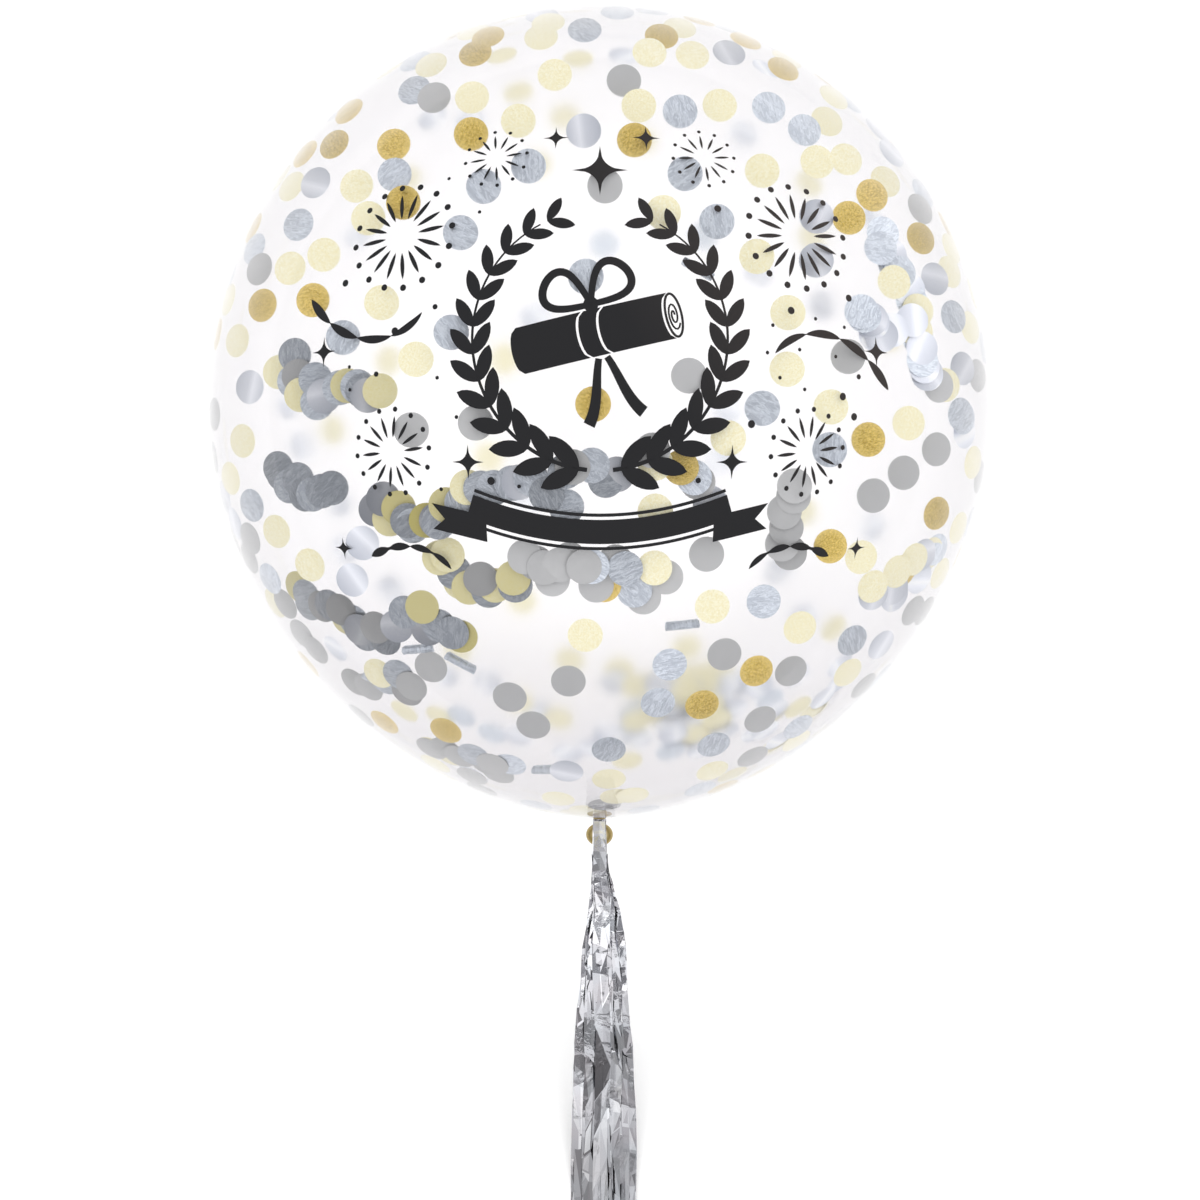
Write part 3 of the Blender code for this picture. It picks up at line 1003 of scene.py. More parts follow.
def pale_gold_foil():
    """Pale gold foil with a fine grain, mixed towards olive where the disc's painted shade is deep."""
    material, tree = new_material("pale_gold_foil")
    place = disc_place(tree)
    grain = tree.noise(tree.stretched(place, (1900, 1100, 1100)), 1.0, 2.0)
    cloud = tree.ramp(tree.noise(place, 800.0, 2.0), (0.34, 0.0), (0.66, 1.0))
    pale = tree.mix(cloud, (0.885, 0.815, 0.50), (0.965, 0.935, 0.72))
    # Painted shade: where the disc's painted light is low, the colour goes towards olive
    in_light = ((tree.attribute("tone") - 0.40) / 0.50).clamped()
    shaded = tree.mix(in_light, (0.40, 0.35, 0.10), pale)
    finish_material(tree, {
        "Base Color": shaded,
        "Metallic": 0.25,
        "Roughness": 0.36 + grain * 0.18,
        "Normal": tree.bump(grain, 0.00006, 0.6),
    })
    return material


def dark_gold_foil():
    """Brushed dark gold foil, with a painted highlight round its edge, and scaled by the disc's painted
    light.
    """
    material, tree = new_material("dark_gold_foil")
    place = disc_place(tree)
    brushed = tree.noise(tree.stretched(place, (700, 1100, 700)), 1.0, 3.0)
    grain = tree.ramp(brushed, (0.34, 0.0), (0.66, 1.0))
    # Painted highlight: the colour grows paler towards the disc's edge
    edge = tree.ramp(edge_share(tree), (0.55, 0.0), (1.0, 1.0))
    colour = tree.mix(grain, (0.42, 0.285, 0.045), (0.80, 0.60, 0.17))
    lit = tree.mix(edge * 0.35, colour, (0.88, 0.70, 0.28))
    shaded = tree.scale(lit, tree.attribute("tone"))
    finish_material(tree, {
        "Base Color": shaded,
        "Metallic": 0.6,
        "Roughness": 0.30 + brushed * 0.15,
        "Normal": tree.bump(brushed, 0.00005, 0.5),
    })
    return material


def crinkled_silver_foil():
    """Blue-grey silver foil with sharp small bumped creases, and painted highlight and shade in streaks
    along them.
    """
    material, tree = new_material("crinkled_silver_foil")
    place = disc_place(tree)
    creases = tree.noise(tree.stretched(place, (110, 380, 150)), 1.0, 2.0, 0.5, 1.0)
    # Painted highlight and shade: bright and dark streaks along the creases, then scaled by the disc's
    # painted light
    streak = tree.ramp(creases, (0.38, 0.25), (0.46, 0.0), (0.52, 1.0), (0.57, 0.2), (0.66, 0.8))
    colour = tree.mix(streak, (0.45, 0.49, 0.555), (0.72, 0.77, 0.84))
    shaded = tree.scale(colour, tree.attribute("tone"))
    finish_material(tree, {
        "Base Color": shaded,
        "Metallic": 0.7,
        "Roughness": 0.26 + creases * 0.12,
        "Normal": tree.bump(creases, 0.0009, 0.7),
    })
    return material


def satin_silver_foil():
    """Satin silver foil with one soft painted band of highlight, scaled by the disc's painted light."""
    material, tree = new_material("satin_silver_foil")
    place = disc_place(tree)
    across = tree.node("ShaderNodeSeparateXYZ", {}, {0: place}, "X")
    # Painted highlight: a soft band of light across the disc
    band = tree.ramp(across / DISC_RADIUS * 0.5 + 0.5,
                     (0.0, 0.15), (0.45, 0.55), (0.62, 1.0), (1.0, 0.35))
    grain = tree.noise(tree.stretched(place, (400, 2600, 400)), 1.0, 2.0)
    colour = tree.mix(band, (0.42, 0.45, 0.52), (0.84, 0.86, 0.92))
    shaded = tree.scale(colour, tree.attribute("tone"))
    finish_material(tree, {
        "Base Color": shaded,
        "Metallic": 0.6,
        "Roughness": 0.28 + grain * 0.14,
        "Normal": tree.bump(grain, 0.00004, 0.5),
    })
    return material


def grey_foil():
    """The matt grey back of the foil, darkened or paled by the disc's painted light."""
    material, tree = new_material("grey_foil")
    place = disc_place(tree)
    cloud = tree.noise(place, 160.0, 2.0)
    speck = tree.noise(place, 2400.0, 2.0)
    colour = tree.mix(cloud, (0.42, 0.424, 0.43), (0.475, 0.48, 0.485))
    # Painted shade or light: the colour scaled by the disc's painted light
    shaded = tree.scale(colour, tree.attribute("tone"))
    finish_material(tree, {
        "Base Color": shaded,
        "Metallic": 0.1,
        "Roughness": 0.48 + speck * 0.16,
        "Normal": tree.bump(speck, 0.00004, 0.4),
    })
    return material


# Foil tassel

def drop_curve():
    """The catenary's own size, which carries the strips from the head's height to the floor."""
    bend_drop = DROP_BEND_RADIUS * (1 - math.cos(DROP_ANGLE))
    drop = AXIS_HEIGHT + HEAD_UNDERSIDE - bend_drop
    return drop / (1 / math.cos(DROP_ANGLE) - 1)


def route_angle(distance):
    """How steeply the strips run down, at a distance along them from the loop."""
    if distance < HEAD_RUN:
        return 0.0
    if distance < HEAD_END:
        return (distance - HEAD_RUN) / DROP_BEND_RADIUS
    curve = drop_curve()
    left = HEAD_END + curve * math.tan(DROP_ANGLE) - distance
    return math.atan(max(0.0, left) / curve)


def walk_route():
    """The place and slope of the tassel's underside at every small step along it."""
    y = LOOP_Y
    z = AXIS_HEIGHT + HEAD_UNDERSIDE
    places = []
    for step in range(int(TASSEL_LENGTH / WALK_STEP) + 40):
        slope = route_angle((step + 0.5) * WALK_STEP)
        places.append((y, max(z, 0.0), route_angle(step * WALK_STEP)))
        y -= WALK_STEP * math.cos(slope)
        z -= WALK_STEP * math.sin(slope)
    return places


ROUTE = walk_route()


def route_place(distance):
    """The place and slope of the route at a distance from the loop."""
    index = clamp(distance / WALK_STEP, 0, len(ROUTE) - 2)
    low = int(index)
    share = index - low
    return [blend(first, second, share) for first, second in zip(ROUTE[low], ROUTE[low + 1])]


def fan_spread(from_rim):
    """How far the outer strips are from the tassel's middle, at a distance out from the rim."""
    share = clamp((from_rim - GATHER_START) / GATHER_RUN, 0.0, 1.0)
    hanging = HANGING_SPREAD * (1 - (1 - share) ** GATHER_POWER)
    return hanging + LYING_SPREAD * smooth_share((from_rim - FAN_END) / LYING_SPREAD_RUN)


def foil_station(distance, sideways, width, layer, fold):
    """Three points across a strip: both edges and the crease between them."""
    y, z, slope = route_place(distance)
    roll, ridge, skew = fold
    points = []
    for across in (-0.5, 0.0, 0.5):
        up = layer + across * width * math.sin(roll) + (ridge if across == 0 else 0.0)
        ahead = across * skew
        x = sideways + across * width * math.cos(roll)
        point_y = y - up * math.sin(slope) - ahead * math.cos(slope)
        point_z = z + up * math.cos(slope) - ahead * math.sin(slope)
        points.append(Vector((x, point_y, max(point_z, FOIL_LOWEST))))
    return points


def add_strip(shape, chance, column, level_share, from_loop):
    """One creased strip of foil, in flat facets between sharp folds."""
    top = BUNDLE_THICKNESS * (1 - BUNDLE_TAPER * abs(column))
    phase = chance.uniform(0, FULL_TURN)
    end = TASSEL_LENGTH - chance.uniform(0.0, STRIP_UNEVENNESS)
    beside = chance.uniform(-STRIP_STRAY, STRIP_STRAY)
    distance = 0.0 if from_loop else HEAD_END - STRIP_ROOT
    rows = []
    painted_lights = []
    before = 0.0
    while distance < end:
        y = route_place(distance)[0]
        from_rim = max(0.0, RIM_END_Y - y)
        opened = smooth_share(from_rim / WIDTH_GAIN_RUN)
        headed = smooth_share(distance / HEAD_END)
        pleated = HEAD_WIDTH * blend(HEAD_NARROWEST, HEAD_WIDEST, headed)
        width = blend(pleated, STRIP_WIDTH, opened)
        wander = STRIP_WANDER * math.sin(FULL_TURN * distance / WANDER_LENGTH + phase)
        sideways = column * fan_spread(from_rim) + opened * (SIDE_DRIFT + wander + beside)
        sideways += (1 - opened) * column * HEAD_COLUMN_STEP
        stride = blend(HEAD_FACET, chance.choices(FACET_LENGTHS, FACET_CHANCES)[0], opened)
        sharp = chance.random() < SHARP_CREASES
        fold = (opened * chance.gauss(0, FACET_ROLL),
                opened * (chance.uniform(*RIDGE_RANGE) if sharp else 0.0),
                FOLD_SLANT * min(before, stride) * chance.uniform(-1, 1))
        low = blend(HEAD_LIFT, 0.0, headed)
        layer = low + blend(HEAD_THICKNESS, top, headed) * level_share
        layer += opened * chance.uniform(*LAYER_STRAY)
        layer += (1 - opened) * chance.uniform(*HEAD_LAYER_STRAY)
        rows.append(foil_station(distance, sideways, width, max(layer, 0.0), fold))
        painted_lights.append(facet_painted_light(chance, from_rim, column))
        before = stride
        distance += stride
    add_foil_rows(shape, chance, rows, painted_lights)


def facet_painted_light(chance, from_rim, column):
    """How bright a facet is painted: a painted glint where the strips gather below the knot, painted
    shade to the right of that, and a random painted brightness elsewhere.
    """
    if GLINT_START < from_rim < GLINT_END:
        return chance.uniform(0.88, 1.0) if column < GLINT_SIDE else chance.uniform(0.0, 0.12)
    return chance.random()


def add_foil_rows(shape, chance, rows, painted_lights):
    """Closes rows of points into a thin solid strip; most facets get the same painted brightness as the
    one beside them.
    """
    tone = shape.faces.layers.float["painted_facet_light"]
    rings = []
    for row in rows:
        top = [shape.verts.new(point) for point in row]
        under = [shape.verts.new(point - Vector((0, 0, FOIL_THICKNESS))) for point in reversed(row)]
        rings.append(top + under)
    for near, far, shared in zip(rings, rings[1:], painted_lights):
        for face in join_rings(shape, near, far):
            face[tone] = shared if chance.random() < SHARED_PAINTED_LIGHT else chance.random()
    shape.faces.new(rings[0])
    shape.faces.new(list(reversed(rings[-1])))


def make_tassel():
    """The foil tassel: creased strips that fold over the knot, and the loop round the neck."""
    chance = random.Random(TASSEL_SEED)
    shape = bmesh.new()
    tone = shape.faces.layers.float.new("painted_facet_light")
    for column, count in STRIP_COLUMNS:
        for level in range(count):
            from_loop = level >= count - 2 and abs(column) < 0.8
            add_strip(shape, chance, column, (level + 0.5) / count, from_loop)
    add_loop(shape)
    bmesh.ops.triangulate(shape, faces=shape.faces[:], quad_method="ALTERNATE")
    bmesh.ops.recalc_face_normals(shape, faces=shape.faces[:])
    # Some facets get a painted brightness of their own
    for face in shape.faces:
        if chance.random() < ODD_FACETS:
            face[tone] = chance.random()
    tassel = place_object("foil_strips", shape, silver_foil(), smooth=False)
    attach(tassel, "root")
    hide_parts("foil_tassel")


def add_loop(shape):
    """The foil loop round the neck."""
    half = 0.0013
    inner = NECK_RADIUS + 0.0003
    outer = HEAD_UNDERSIDE + 0.0010
    corners = ((inner, -half), (outer, -half), (outer, half), (inner, half))
    sides = 24
    loops = []
    for side in range(sides):
        angle = FULL_TURN * side / sides
        loop = []
        for radius, along in corners:
            lump = radius + (0.0003 * math.sin(5 * angle + 900 * along) if radius == outer else 0.0)
            squeezed = min(lump, NECK_RADIUS + 0.0009)
            loop.append(shape.verts.new(
                (squeezed * math.sin(angle), LOOP_Y + along, AXIS_HEIGHT + lump * math.cos(angle))))
        loops.append(loop)
    for near, far in zip(loops, loops[1:] + loops[:1]):
        join_rings(shape, near, far)


def silver_foil():
    """Bright metallised film, each facet with its own painted brightness that stands in for reflection
    and shade, painted darker far out, crushed in patches.
    """
    material, tree = new_material("silver_foil")
    place = tree.object_place()
    painted_facet_light = tree.attribute("painted_facet_light")
    wrinkle = tree.noise(tree.stretched(place, (260, 110, 260)), 1.0, 2.0, 0.5, 0.6)
    crushed = tree.ramp(tree.noise(place, 55.0, 0.0), (0.50, 0.06), (0.60, 1.0))
    fine = tree.noise(tree.stretched(place, (2400, 700, 2400)), 1.0, 2.0)
    warm = tree.noise(place, 38.0, 1.0)
    # Painted reflection and shade: each facet's painted brightness picks its grey
    shade = tree.ramp(painted_facet_light, (0.0, (0.28, 0.27, 0.28)), (0.08, (0.46, 0.45, 0.47)),
                      (0.35, (0.60, 0.60, 0.62)), (0.82, (0.76, 0.76, 0.78)),
                      (0.90, (0.96, 0.96, 0.97)), (1.0, (0.98, 0.98, 0.99)))
    tint = tree.mix(warm, (0.90, 0.96, 1.0), (1.0, 0.945, 0.955))
    along = tree.node("ShaderNodeSeparateXYZ", {}, {0: place}, "Y")
    # Painted shade: the colour darkens far out along the tassel
    painted_shade_far_out = tree.ramp((along - PAINTED_SHADE_FROM_Y) / PAINTED_SHADE_RUN, (0.0, 0.50), (1.0, 1.0))
    colour = tree.multiply(tree.multiply(shade, tint), painted_shade_far_out)
    finish_material(tree, {
        "Base Color": colour,
        "Metallic": 1.0,
        "Roughness": 0.09 + fine * 0.10,
        "Normal": tree.bump(wrinkle * crushed, 0.0010, 0.45),
    })
    return material


# Print

def plan_place(px, py):
    """A place in the print's flat plan, in metres, from where it shows in the photograph."""
    y, angle = place_in_photo(px, py)
    along = y / (CROWN_REACH if y > 0 else NECK_REACH)
    around = math.sqrt(1 - along ** 2)
    direction = Vector((around * math.sin(angle), along))
    reach = direction.length
    if reach < 1e-6:
        return Vector((0, 0))
    return direction / reach * math.asin(min(1.0, reach)) * RADIUS


def press_on_wall(mesh):
    """Bends the flat plan of the print over the front of the balloon."""
    for vertex in mesh.vertices:
        plan = Vector((vertex.co.x, vertex.co.y))
        reach = max(plan.length, 1e-6)
        turn = reach / RADIUS
        across = math.sin(turn) * plan.x / reach
        along = math.sin(turn) * plan.y / reach
        y = along * (CROWN_REACH if along > 0 else NECK_REACH)
        angle = math.atan2(across, math.cos(turn))
        vertex.co = wall_point(y, angle, INK_LIFT)


def add_patch(shape, place, along, across=2):
    """A filled patch; place gives a point of the plan for two shares, along and across, from 0 to 1."""
    rows = []
    for step in range(along + 1):
        points = [place(step / along, side / across) for side in range(across + 1)]
        rows.append([shape.verts.new((*point, 0)) for point in points])
    for near, far in zip(rows, rows[1:]):
        for side in range(across):
            shape.faces.new((near[side], near[side + 1], far[side + 1], far[side]))


def add_stroke(shape, path, widths):
    """A printed stroke along a path, with its width at every point of it."""
    last = len(path) - 1

    def place(along, across):
        index = round(along * last)
        forward = (path[min(index + 1, last)] - path[max(index - 1, 0)]).normalized()
        sideways = Vector((-forward.y, forward.x))
        return path[index] + sideways * widths[index] * (0.5 - across)

    add_patch(shape, place, last)


def bent_path(start, bend, end, count):
    """A path from start to end that is drawn towards a bend on the way."""
    path = []
    for step in range(count + 1):
        share = step / count
        path.append(start * (1 - share) ** 2 + bend * 2 * share * (1 - share) + end * share ** 2)
    return path


def add_blot(shape, centre, outline, rings=2):
    """A filled shape round a centre, given how far its edge is at evenly spaced turns."""
    middle = shape.verts.new((*centre, 0))
    count = len(outline)
    loops = []
    for ring in range(1, rings + 1):
        loop = []
        for index, reach in enumerate(outline):
            angle = FULL_TURN * index / count
            offset = Vector((math.cos(angle), math.sin(angle))) * reach * ring / rings
            loop.append(shape.verts.new((*(centre + offset), 0)))
        loops.append(loop)
    for step in range(count):
        after = (step + 1) % count
        shape.faces.new((middle, loops[0][step], loops[0][after]))
        for near, far in zip(loops, loops[1:]):
            shape.faces.new((near[step], far[step], far[after], near[after]))


def add_dot(shape, centre, radius):
    """A printed dot."""
    add_blot(shape, centre, [radius] * 20, 1 if radius < 0.004 else 2)


def add_sparkle(shape, centre, reach):
    """A four-pointed sparkle with hollow sides."""
    outline = []
    for index in range(48):
        angle = FULL_TURN * index / 48
        sides = abs(math.cos(angle)) ** 0.5 + abs(math.sin(angle)) ** 0.5
        outline.append(reach / sides ** 2)
    add_blot(shape, centre, outline, 2)


def curl_path(start, heading, length, bend_start, bend_end, step=0.004):
    """A path that curls more and more along its way."""
    path = [Vector(start)]
    count = max(2, int(length / step))
    angle = heading
    for index in range(count):
        angle += blend(bend_start, bend_end, index / count) * length / count
        path.append(path[-1] + Vector((math.cos(angle), math.sin(angle))) * length / count)
    return path


def add_streamer(shape, start, heading, length, bend_start, bend_end, width):
    """A twisted paper streamer, which narrows to a line where it turns its edge to the front."""
    path = curl_path(start, heading, length, bend_start, bend_end, 0.0025)
    last = len(path) - 1
    widths = []
    for index in range(last + 1):
        share = index / last
        twist = abs(math.cos(math.pi * (0.5 + 4 * share)))
        widths.append(width * (0.10 + 0.90 * twist ** 0.8) * (1 - 0.35 * share))
    add_stroke(shape, path, widths)


def leaf_tree():
    """Geometry nodes that set pointed leaves along an arc, shorter towards its end."""
    group = bpy.data.node_groups.new("leaves", "GeometryNodeTree")
    group.interface.new_socket("Start", in_out="INPUT", socket_type="NodeSocketGeometry")
    for name in ("Arc radius", "Arc start", "Arc sweep", "Leaf length", "Leaf width", "Lean", "Shrink"):
        group.interface.new_socket(name, in_out="INPUT", socket_type="NodeSocketFloat")
    group.interface.new_socket("Leaves", in_out="INPUT", socket_type="NodeSocketInt")
    group.interface.new_socket("Ink", in_out="INPUT", socket_type="NodeSocketMaterial")
    group.interface.new_socket("Result", in_out="OUTPUT", socket_type="NodeSocketGeometry")
    tree = Tree(group)
    given = tree.node("NodeGroupInput")
    arc = tree.node("GeometryNodeCurveArc", {"mode": "RADIUS"}, {
        "Resolution": 64, "Radius": given.out("Arc radius"),
        "Start Angle": given.out("Arc start"), "Sweep Angle": given.out("Arc sweep")})
    stations = tree.node("GeometryNodeCurveToPoints", {"mode": "COUNT"}, {
        "Curve": arc, "Count": given.out("Leaves")})
    grid = tree.node("GeometryNodeMeshGrid", {}, {
        "Size X": 1.0, "Size Y": 1.0, "Vertices X": 9, "Vertices Y": 3})
    position = tree.node("GeometryNodeInputPosition")
    parts = tree.node("ShaderNodeSeparateXYZ", {}, {0: position}, "X")
    along = parts + 0.5
    belly = (4 * along * (1 - along)).clamped() ** 0.8
    shaped = tree.node("ShaderNodeCombineXYZ", {}, {
        0: along * given.out("Leaf length"), 1: parts.out("Y") * belly * given.out("Leaf width")})
    leaf = tree.node("GeometryNodeSetPosition", {}, {"Geometry": grid, "Position": shaped})
    order = tree.node("GeometryNodeInputIndex")
    size = 1 - given.out("Shrink") * order / given.out("Leaves")
    scale = tree.node("ShaderNodeCombineXYZ", {}, {0: size, 1: size, 2: 1.0})
    tangent = stations.out("Tangent")
    heading = tree.node("FunctionNodeAlignRotationToVector", {"axis": "X", "pivot_axis": "Z"},
                        {"Vector": tangent})
    lean = tree.node("FunctionNodeAxisAngleToRotation", {}, {
        "Axis": (0, 0, 1), "Angle": given.out("Lean")})
    rotation = tree.node("FunctionNodeRotateRotation", {"rotation_space": "LOCAL"}, {0: heading, 1: lean})
    set_leaves = tree.node("GeometryNodeInstanceOnPoints", {}, {
        "Points": stations, "Instance": leaf, "Rotation": rotation, "Scale": scale})
    real = tree.node("GeometryNodeRealizeInstances", {}, {"Geometry": set_leaves})
    painted = tree.node("GeometryNodeSetMaterial", {}, {"Geometry": real, "Material": given.out("Ink")})
    tree.node("NodeGroupOutput", {}, {"Result": painted})
    return group


def add_leaves(shape, group, ink, centre, values):
    """Adds leaves, or the rays of a burst, round a centre of the plan."""
    start = bpy.data.meshes.new("arc_start")
    grown = grow("leaves", start, group, {**values, "Ink": ink})
    for vertex in grown.data.vertices:
        vertex.co += Vector((*centre, 0))
    shape.from_mesh(grown.data)
    mesh = grown.data
    bpy.data.objects.remove(grown, do_unlink=True)
    bpy.data.meshes.remove(mesh)


def add_wreath(shape, group, ink, centre, radius):
    """A laurel wreath of two branches, open at the top."""
    for side in (1, -1):
        start = -math.pi / 2 + side * 0.10
        sweep = side * 2.55
        path = []
        for step in range(41):
            angle = start + sweep * step / 40
            path.append(centre + Vector((math.cos(angle), math.sin(angle))) * radius)
        add_stroke(shape, path, [blend(0.0030, 0.0012, step / 40) for step in range(41)])
        for lean in (0.62, -0.62):
            add_leaves(shape, group, ink, centre, {
                "Arc radius": radius, "Arc start": start + side * 0.06, "Arc sweep": sweep,
                "Leaves": 13, "Leaf length": 0.031, "Leaf width": 0.0122,
                "Lean": lean, "Shrink": 0.35})


def add_burst(shape, group, ink, centre, reach, rays):
    """A firework: rays round an open middle, with a dot beyond every ray."""
    values = {"Arc radius": reach * 0.30, "Arc start": 0.1, "Arc sweep": FULL_TURN * (1 - 1 / rays),
              "Leaves": rays, "Leaf length": reach * 0.46, "Leaf width": reach * 0.075,
              "Lean": -math.pi / 2, "Shrink": 0.0}
    add_leaves(shape, group, ink, centre, values)
    for ray in range(rays):
        angle = 0.1 + FULL_TURN * ray / rays
        way = Vector((math.cos(angle), math.sin(angle)))
        add_dot(shape, centre + way * reach * 0.90, reach * 0.055)


def scroll_place(centre, turn, x, y):
    """A point of the scroll, given along and across it."""
    forward = Vector((math.cos(turn), math.sin(turn)))
    return centre + forward * x + Vector((-forward.y, forward.x)) * y


def add_scroll(shape, centre, turn, length, thickness):
    """A rolled-up paper scroll with a ribbon band round its middle and its curled end in view."""
    half = thickness / 2
    bulge = half * 0.38
    gap = 0.0017
    band = 0.0065

    def add_body(left, right):
        def place(along, across):
            height = 2 * across - 1
            x = blend(left, right, along) - bulge * math.sqrt(max(0.0, 1 - height ** 2))
            return scroll_place(centre, turn, x, height * half)
        add_patch(shape, place, max(3, round((right - left) / INK_STEP)), 10)

    add_body(-length / 2, -band - gap)
    add_body(-band, band)
    add_body(band + gap, length / 2 - gap)
    end_ring = []
    for step in range(41):
        angle = FULL_TURN * step / 40
        x = length / 2 + bulge * 0.90 * math.cos(angle)
        end_ring.append(scroll_place(centre, turn, x, half * 0.94 * math.sin(angle)))
    add_stroke(shape, end_ring, [0.0018] * 41)
    curl = []
    for step in range(31):
        share = step / 30
        angle = 1.9 * FULL_TURN * share
        reach = blend(0.10, 0.66, share)
        x = length / 2 + bulge * reach * math.cos(angle)
        curl.append(scroll_place(centre, turn, x, half * reach * math.sin(angle)))
    add_stroke(shape, curl, [0.0014] * 31)


def add_bow(shape, centre, turn, thickness):
    """The ribbon's bow above the scroll and its two tails below."""
    half = thickness / 2 + 0.0016
    top = scroll_place(centre, turn, 0.0, half + 0.002)
    add_dot(shape, top, 0.0055)
    for side in (1, -1):
        heading = turn + math.pi / 2 - side * 0.93
        out = Vector((math.cos(heading), math.sin(heading)))
        across = Vector((-out.y, out.x))
        loop = []
        for step in range(33):
            share = step / 32
            reach = 0.036 * math.sin(math.pi * share)
            loop.append(top + out * reach + across * 0.0135 * math.sin(FULL_TURN * share))
        add_stroke(shape, loop, [0.0044 + 0.0016 * math.sin(math.pi * step / 32) for step in range(33)])
        low = scroll_place(centre, turn, side * 0.003, -half)
        heading = turn - math.pi / 2 + side * 0.42
        tail = curl_path(low, heading, 0.046, -side * 16, side * 30, 0.003)
        last = len(tail) - 1
        add_stroke(shape, tail, [blend(0.0048, 0.0086, step / last) for step in range(last + 1)])


def add_banner(shape, left, middle, right, width):
    """A bare paper ribbon with thin lines along its edges and a forked end at each side."""
    path = bent_path(left, middle * 2 - (left + right) / 2, right, 44)
    add_stroke(shape, path, [width * 0.66] * 45)
    for side in (1, -1):
        edge = []
        for index, point in enumerate(path):
            forward = (path[min(index + 1, 44)] - path[max(index - 1, 0)]).normalized()
            edge.append(point + Vector((-forward.y, forward.x)) * side * width * 0.455)
        add_stroke(shape, edge, [width * 0.09] * 45)
    for end, way in ((left, -1), (right, 1)):
        start = end + Vector((-way * 0.012, -width * 0.62))
        finish = end + Vector((way * 0.030, -width * 0.30))
        add_forked_end(shape, start, finish, width * 0.72)


def add_forked_end(shape, start, finish, width):
    """The end of a ribbon, with a notch cut into it."""
    notch = 0.010

    def place(along, across):
        fork = notch * along ** 4 * (1 - abs(2 * across - 1))
        point = start + (finish - start) * along - (finish - start).normalized() * fork
        return point + Vector((0, (0.5 - across) * width))

    add_patch(shape, place, 8, 6)


# Fireworks and sparkles: place in the photograph's pixels, size in metres, and rays
BURSTS = ((402, 236, 0.046, 16), (798, 236, 0.046, 16), (496, 158, 0.027, 12), (704, 158, 0.027, 12),
          (392, 452, 0.034, 14), (808, 452, 0.034, 14))
SPARKLES = ((600, 170, 0.021), (556, 138, 0.010), (646, 138, 0.011), (324, 352, 0.012),
            (876, 352, 0.012), (468, 462, 0.012), (732, 462, 0.012), (344, 548, 0.009),
            (856, 548, 0.009))
# Streamers: place in pixels, heading, length, how they curl from start to end, and width
STREAMERS = (((312, 300), -0.9, 0.120, 6, 24, 0.0080), ((888, 390), 2.2, 0.120, 6, 24, 0.0080),
             ((372, 556), 0.5, 0.075, -8, -30, 0.0070), ((828, 556), 2.64, 0.075, 8, 30, 0.0070))
BANNER_PX = ((470, 506), (600, 532), (730, 506))
BANNER_WIDTH = 0.026
WREATH_PX = (600, 335)
WREATH_RADIUS = 0.092
SCROLL_SHIFT = (-0.002, 0.002)
SCROLL_TURN = math.radians(13)
SCROLL_LENGTH = 0.112
SCROLL_THICKNESS = 0.033
DOT_RADII = (0.0014, 0.0020, 0.0028)
DOT_COUNT = 30
DOT_SEED = 5
PRINT_MIDDLE_PX = (600, 350)
PRINT_REACH_PX = (268, 224)
WREATH_CLEAR_PX = 165
BANNER_CLEAR_PX = (490, 400, 800)    # below this row, between these columns


def add_scattered_dots(shape, chance, count):
    """Small dots between the larger motifs."""
    taken = [(px, py, reach / METRES_PER_PX + 6) for px, py, reach, rays in BURSTS]
    taken += [(px, py, reach / METRES_PER_PX + 4) for px, py, reach in SPARKLES]
    placed = 0
    while placed < count:
        angle = chance.uniform(0, FULL_TURN)
        reach = chance.uniform(0.0, 1.0) ** 0.5
        px = PRINT_MIDDLE_PX[0] + PRINT_REACH_PX[0] * reach * math.cos(angle)
        py = PRINT_MIDDLE_PX[1] + PRINT_REACH_PX[1] * reach * math.sin(angle)
        if math.hypot(px - WREATH_PX[0], py - WREATH_PX[1]) < WREATH_CLEAR_PX:
            continue
        if py > BANNER_CLEAR_PX[0] and BANNER_CLEAR_PX[1] < px < BANNER_CLEAR_PX[2]:
            continue
        if any(math.hypot(px - other[0], py - other[1]) < other[2] + 8 for other in taken):
            continue
        taken.append((px, py, 14))
        add_dot(shape, plan_place(px, py), chance.choice(DOT_RADII))
        placed += 1


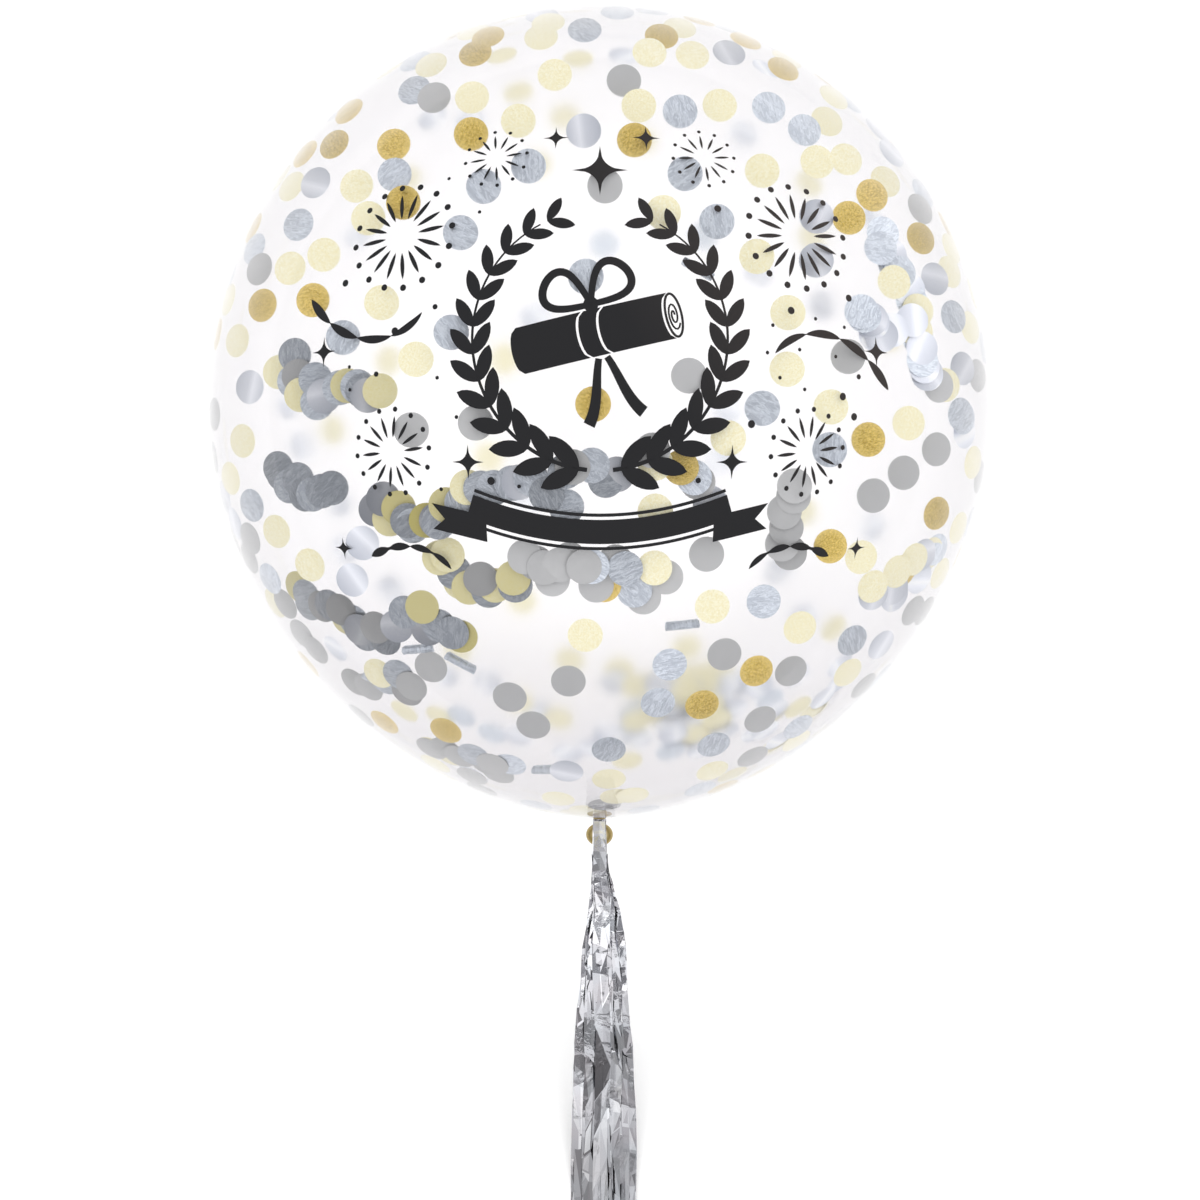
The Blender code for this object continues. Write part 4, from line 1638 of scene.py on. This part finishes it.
def make_print():
    """The black print on the front: a wreath, a tied scroll, a banner, bursts and streamers."""
    ink = black_ink()
    group = leaf_tree()
    shape = bmesh.new()
    middle = plan_place(*WREATH_PX)
    add_wreath(shape, group, ink, middle, WREATH_RADIUS)
    scroll_middle = middle + Vector(SCROLL_SHIFT)
    add_scroll(shape, scroll_middle, SCROLL_TURN, SCROLL_LENGTH, SCROLL_THICKNESS)
    add_bow(shape, scroll_middle, SCROLL_TURN, SCROLL_THICKNESS)
    for px, py, reach, rays in BURSTS:
        add_burst(shape, group, ink, plan_place(px, py), reach, rays)
    for px, py, reach in SPARKLES:
        add_sparkle(shape, plan_place(px, py), reach)
    add_banner(shape, *(plan_place(px, py) for px, py in BANNER_PX), BANNER_WIDTH)
    for start, heading, length, bend_start, bend_end, width in STREAMERS:
        add_streamer(shape, plan_place(*start), heading, length, bend_start, bend_end, width)
    add_scattered_dots(shape, random.Random(DOT_SEED), DOT_COUNT)
    shape.normal_update()
    for face in shape.faces:
        if face.normal.z < 0:
            face.normal_flip()
    mesh = bpy.data.meshes.new("print")
    shape.to_mesh(mesh)
    shape.free()
    mesh.materials.clear()
    mesh.materials.append(ink)
    press_on_wall(mesh)
    mesh.shade_smooth()
    item = bpy.data.objects.new("print", mesh)
    bpy.context.scene.collection.objects.link(item)
    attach(item, "root")


def black_ink():
    """Thin screen ink, with painted light showing through it from behind where the stretched film thins
    it, browner towards +X and +Y.
    """
    material, tree = new_material("black_ink")
    place = tree.object_place()
    parts = tree.node("ShaderNodeSeparateXYZ", {}, {0: place}, "X")
    # Painted backlight: the ink is painted browner towards +X and +Y, as if light shone through it
    painted_backlight = (parts * 3.0 + parts.out("Y") * 2.0 - 0.15).clamped()
    speck = tree.noise(place, 700.0, 3.0)
    colour = tree.mix(painted_backlight * (0.5 + speck), (0.018, 0.018, 0.020), (0.075, 0.060, 0.055))
    finish_material(tree, {
        "Base Color": colour,
        "Roughness": 0.42 + speck * 0.15,
        "Specular IOR Level": 0.12,
    })
    return material


def main():
    """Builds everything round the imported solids."""
    add_camera()
    add_floor()
    add_light()
    make_skin()
    make_neck()
    make_confetti()
    make_tassel()
    make_print()


main()
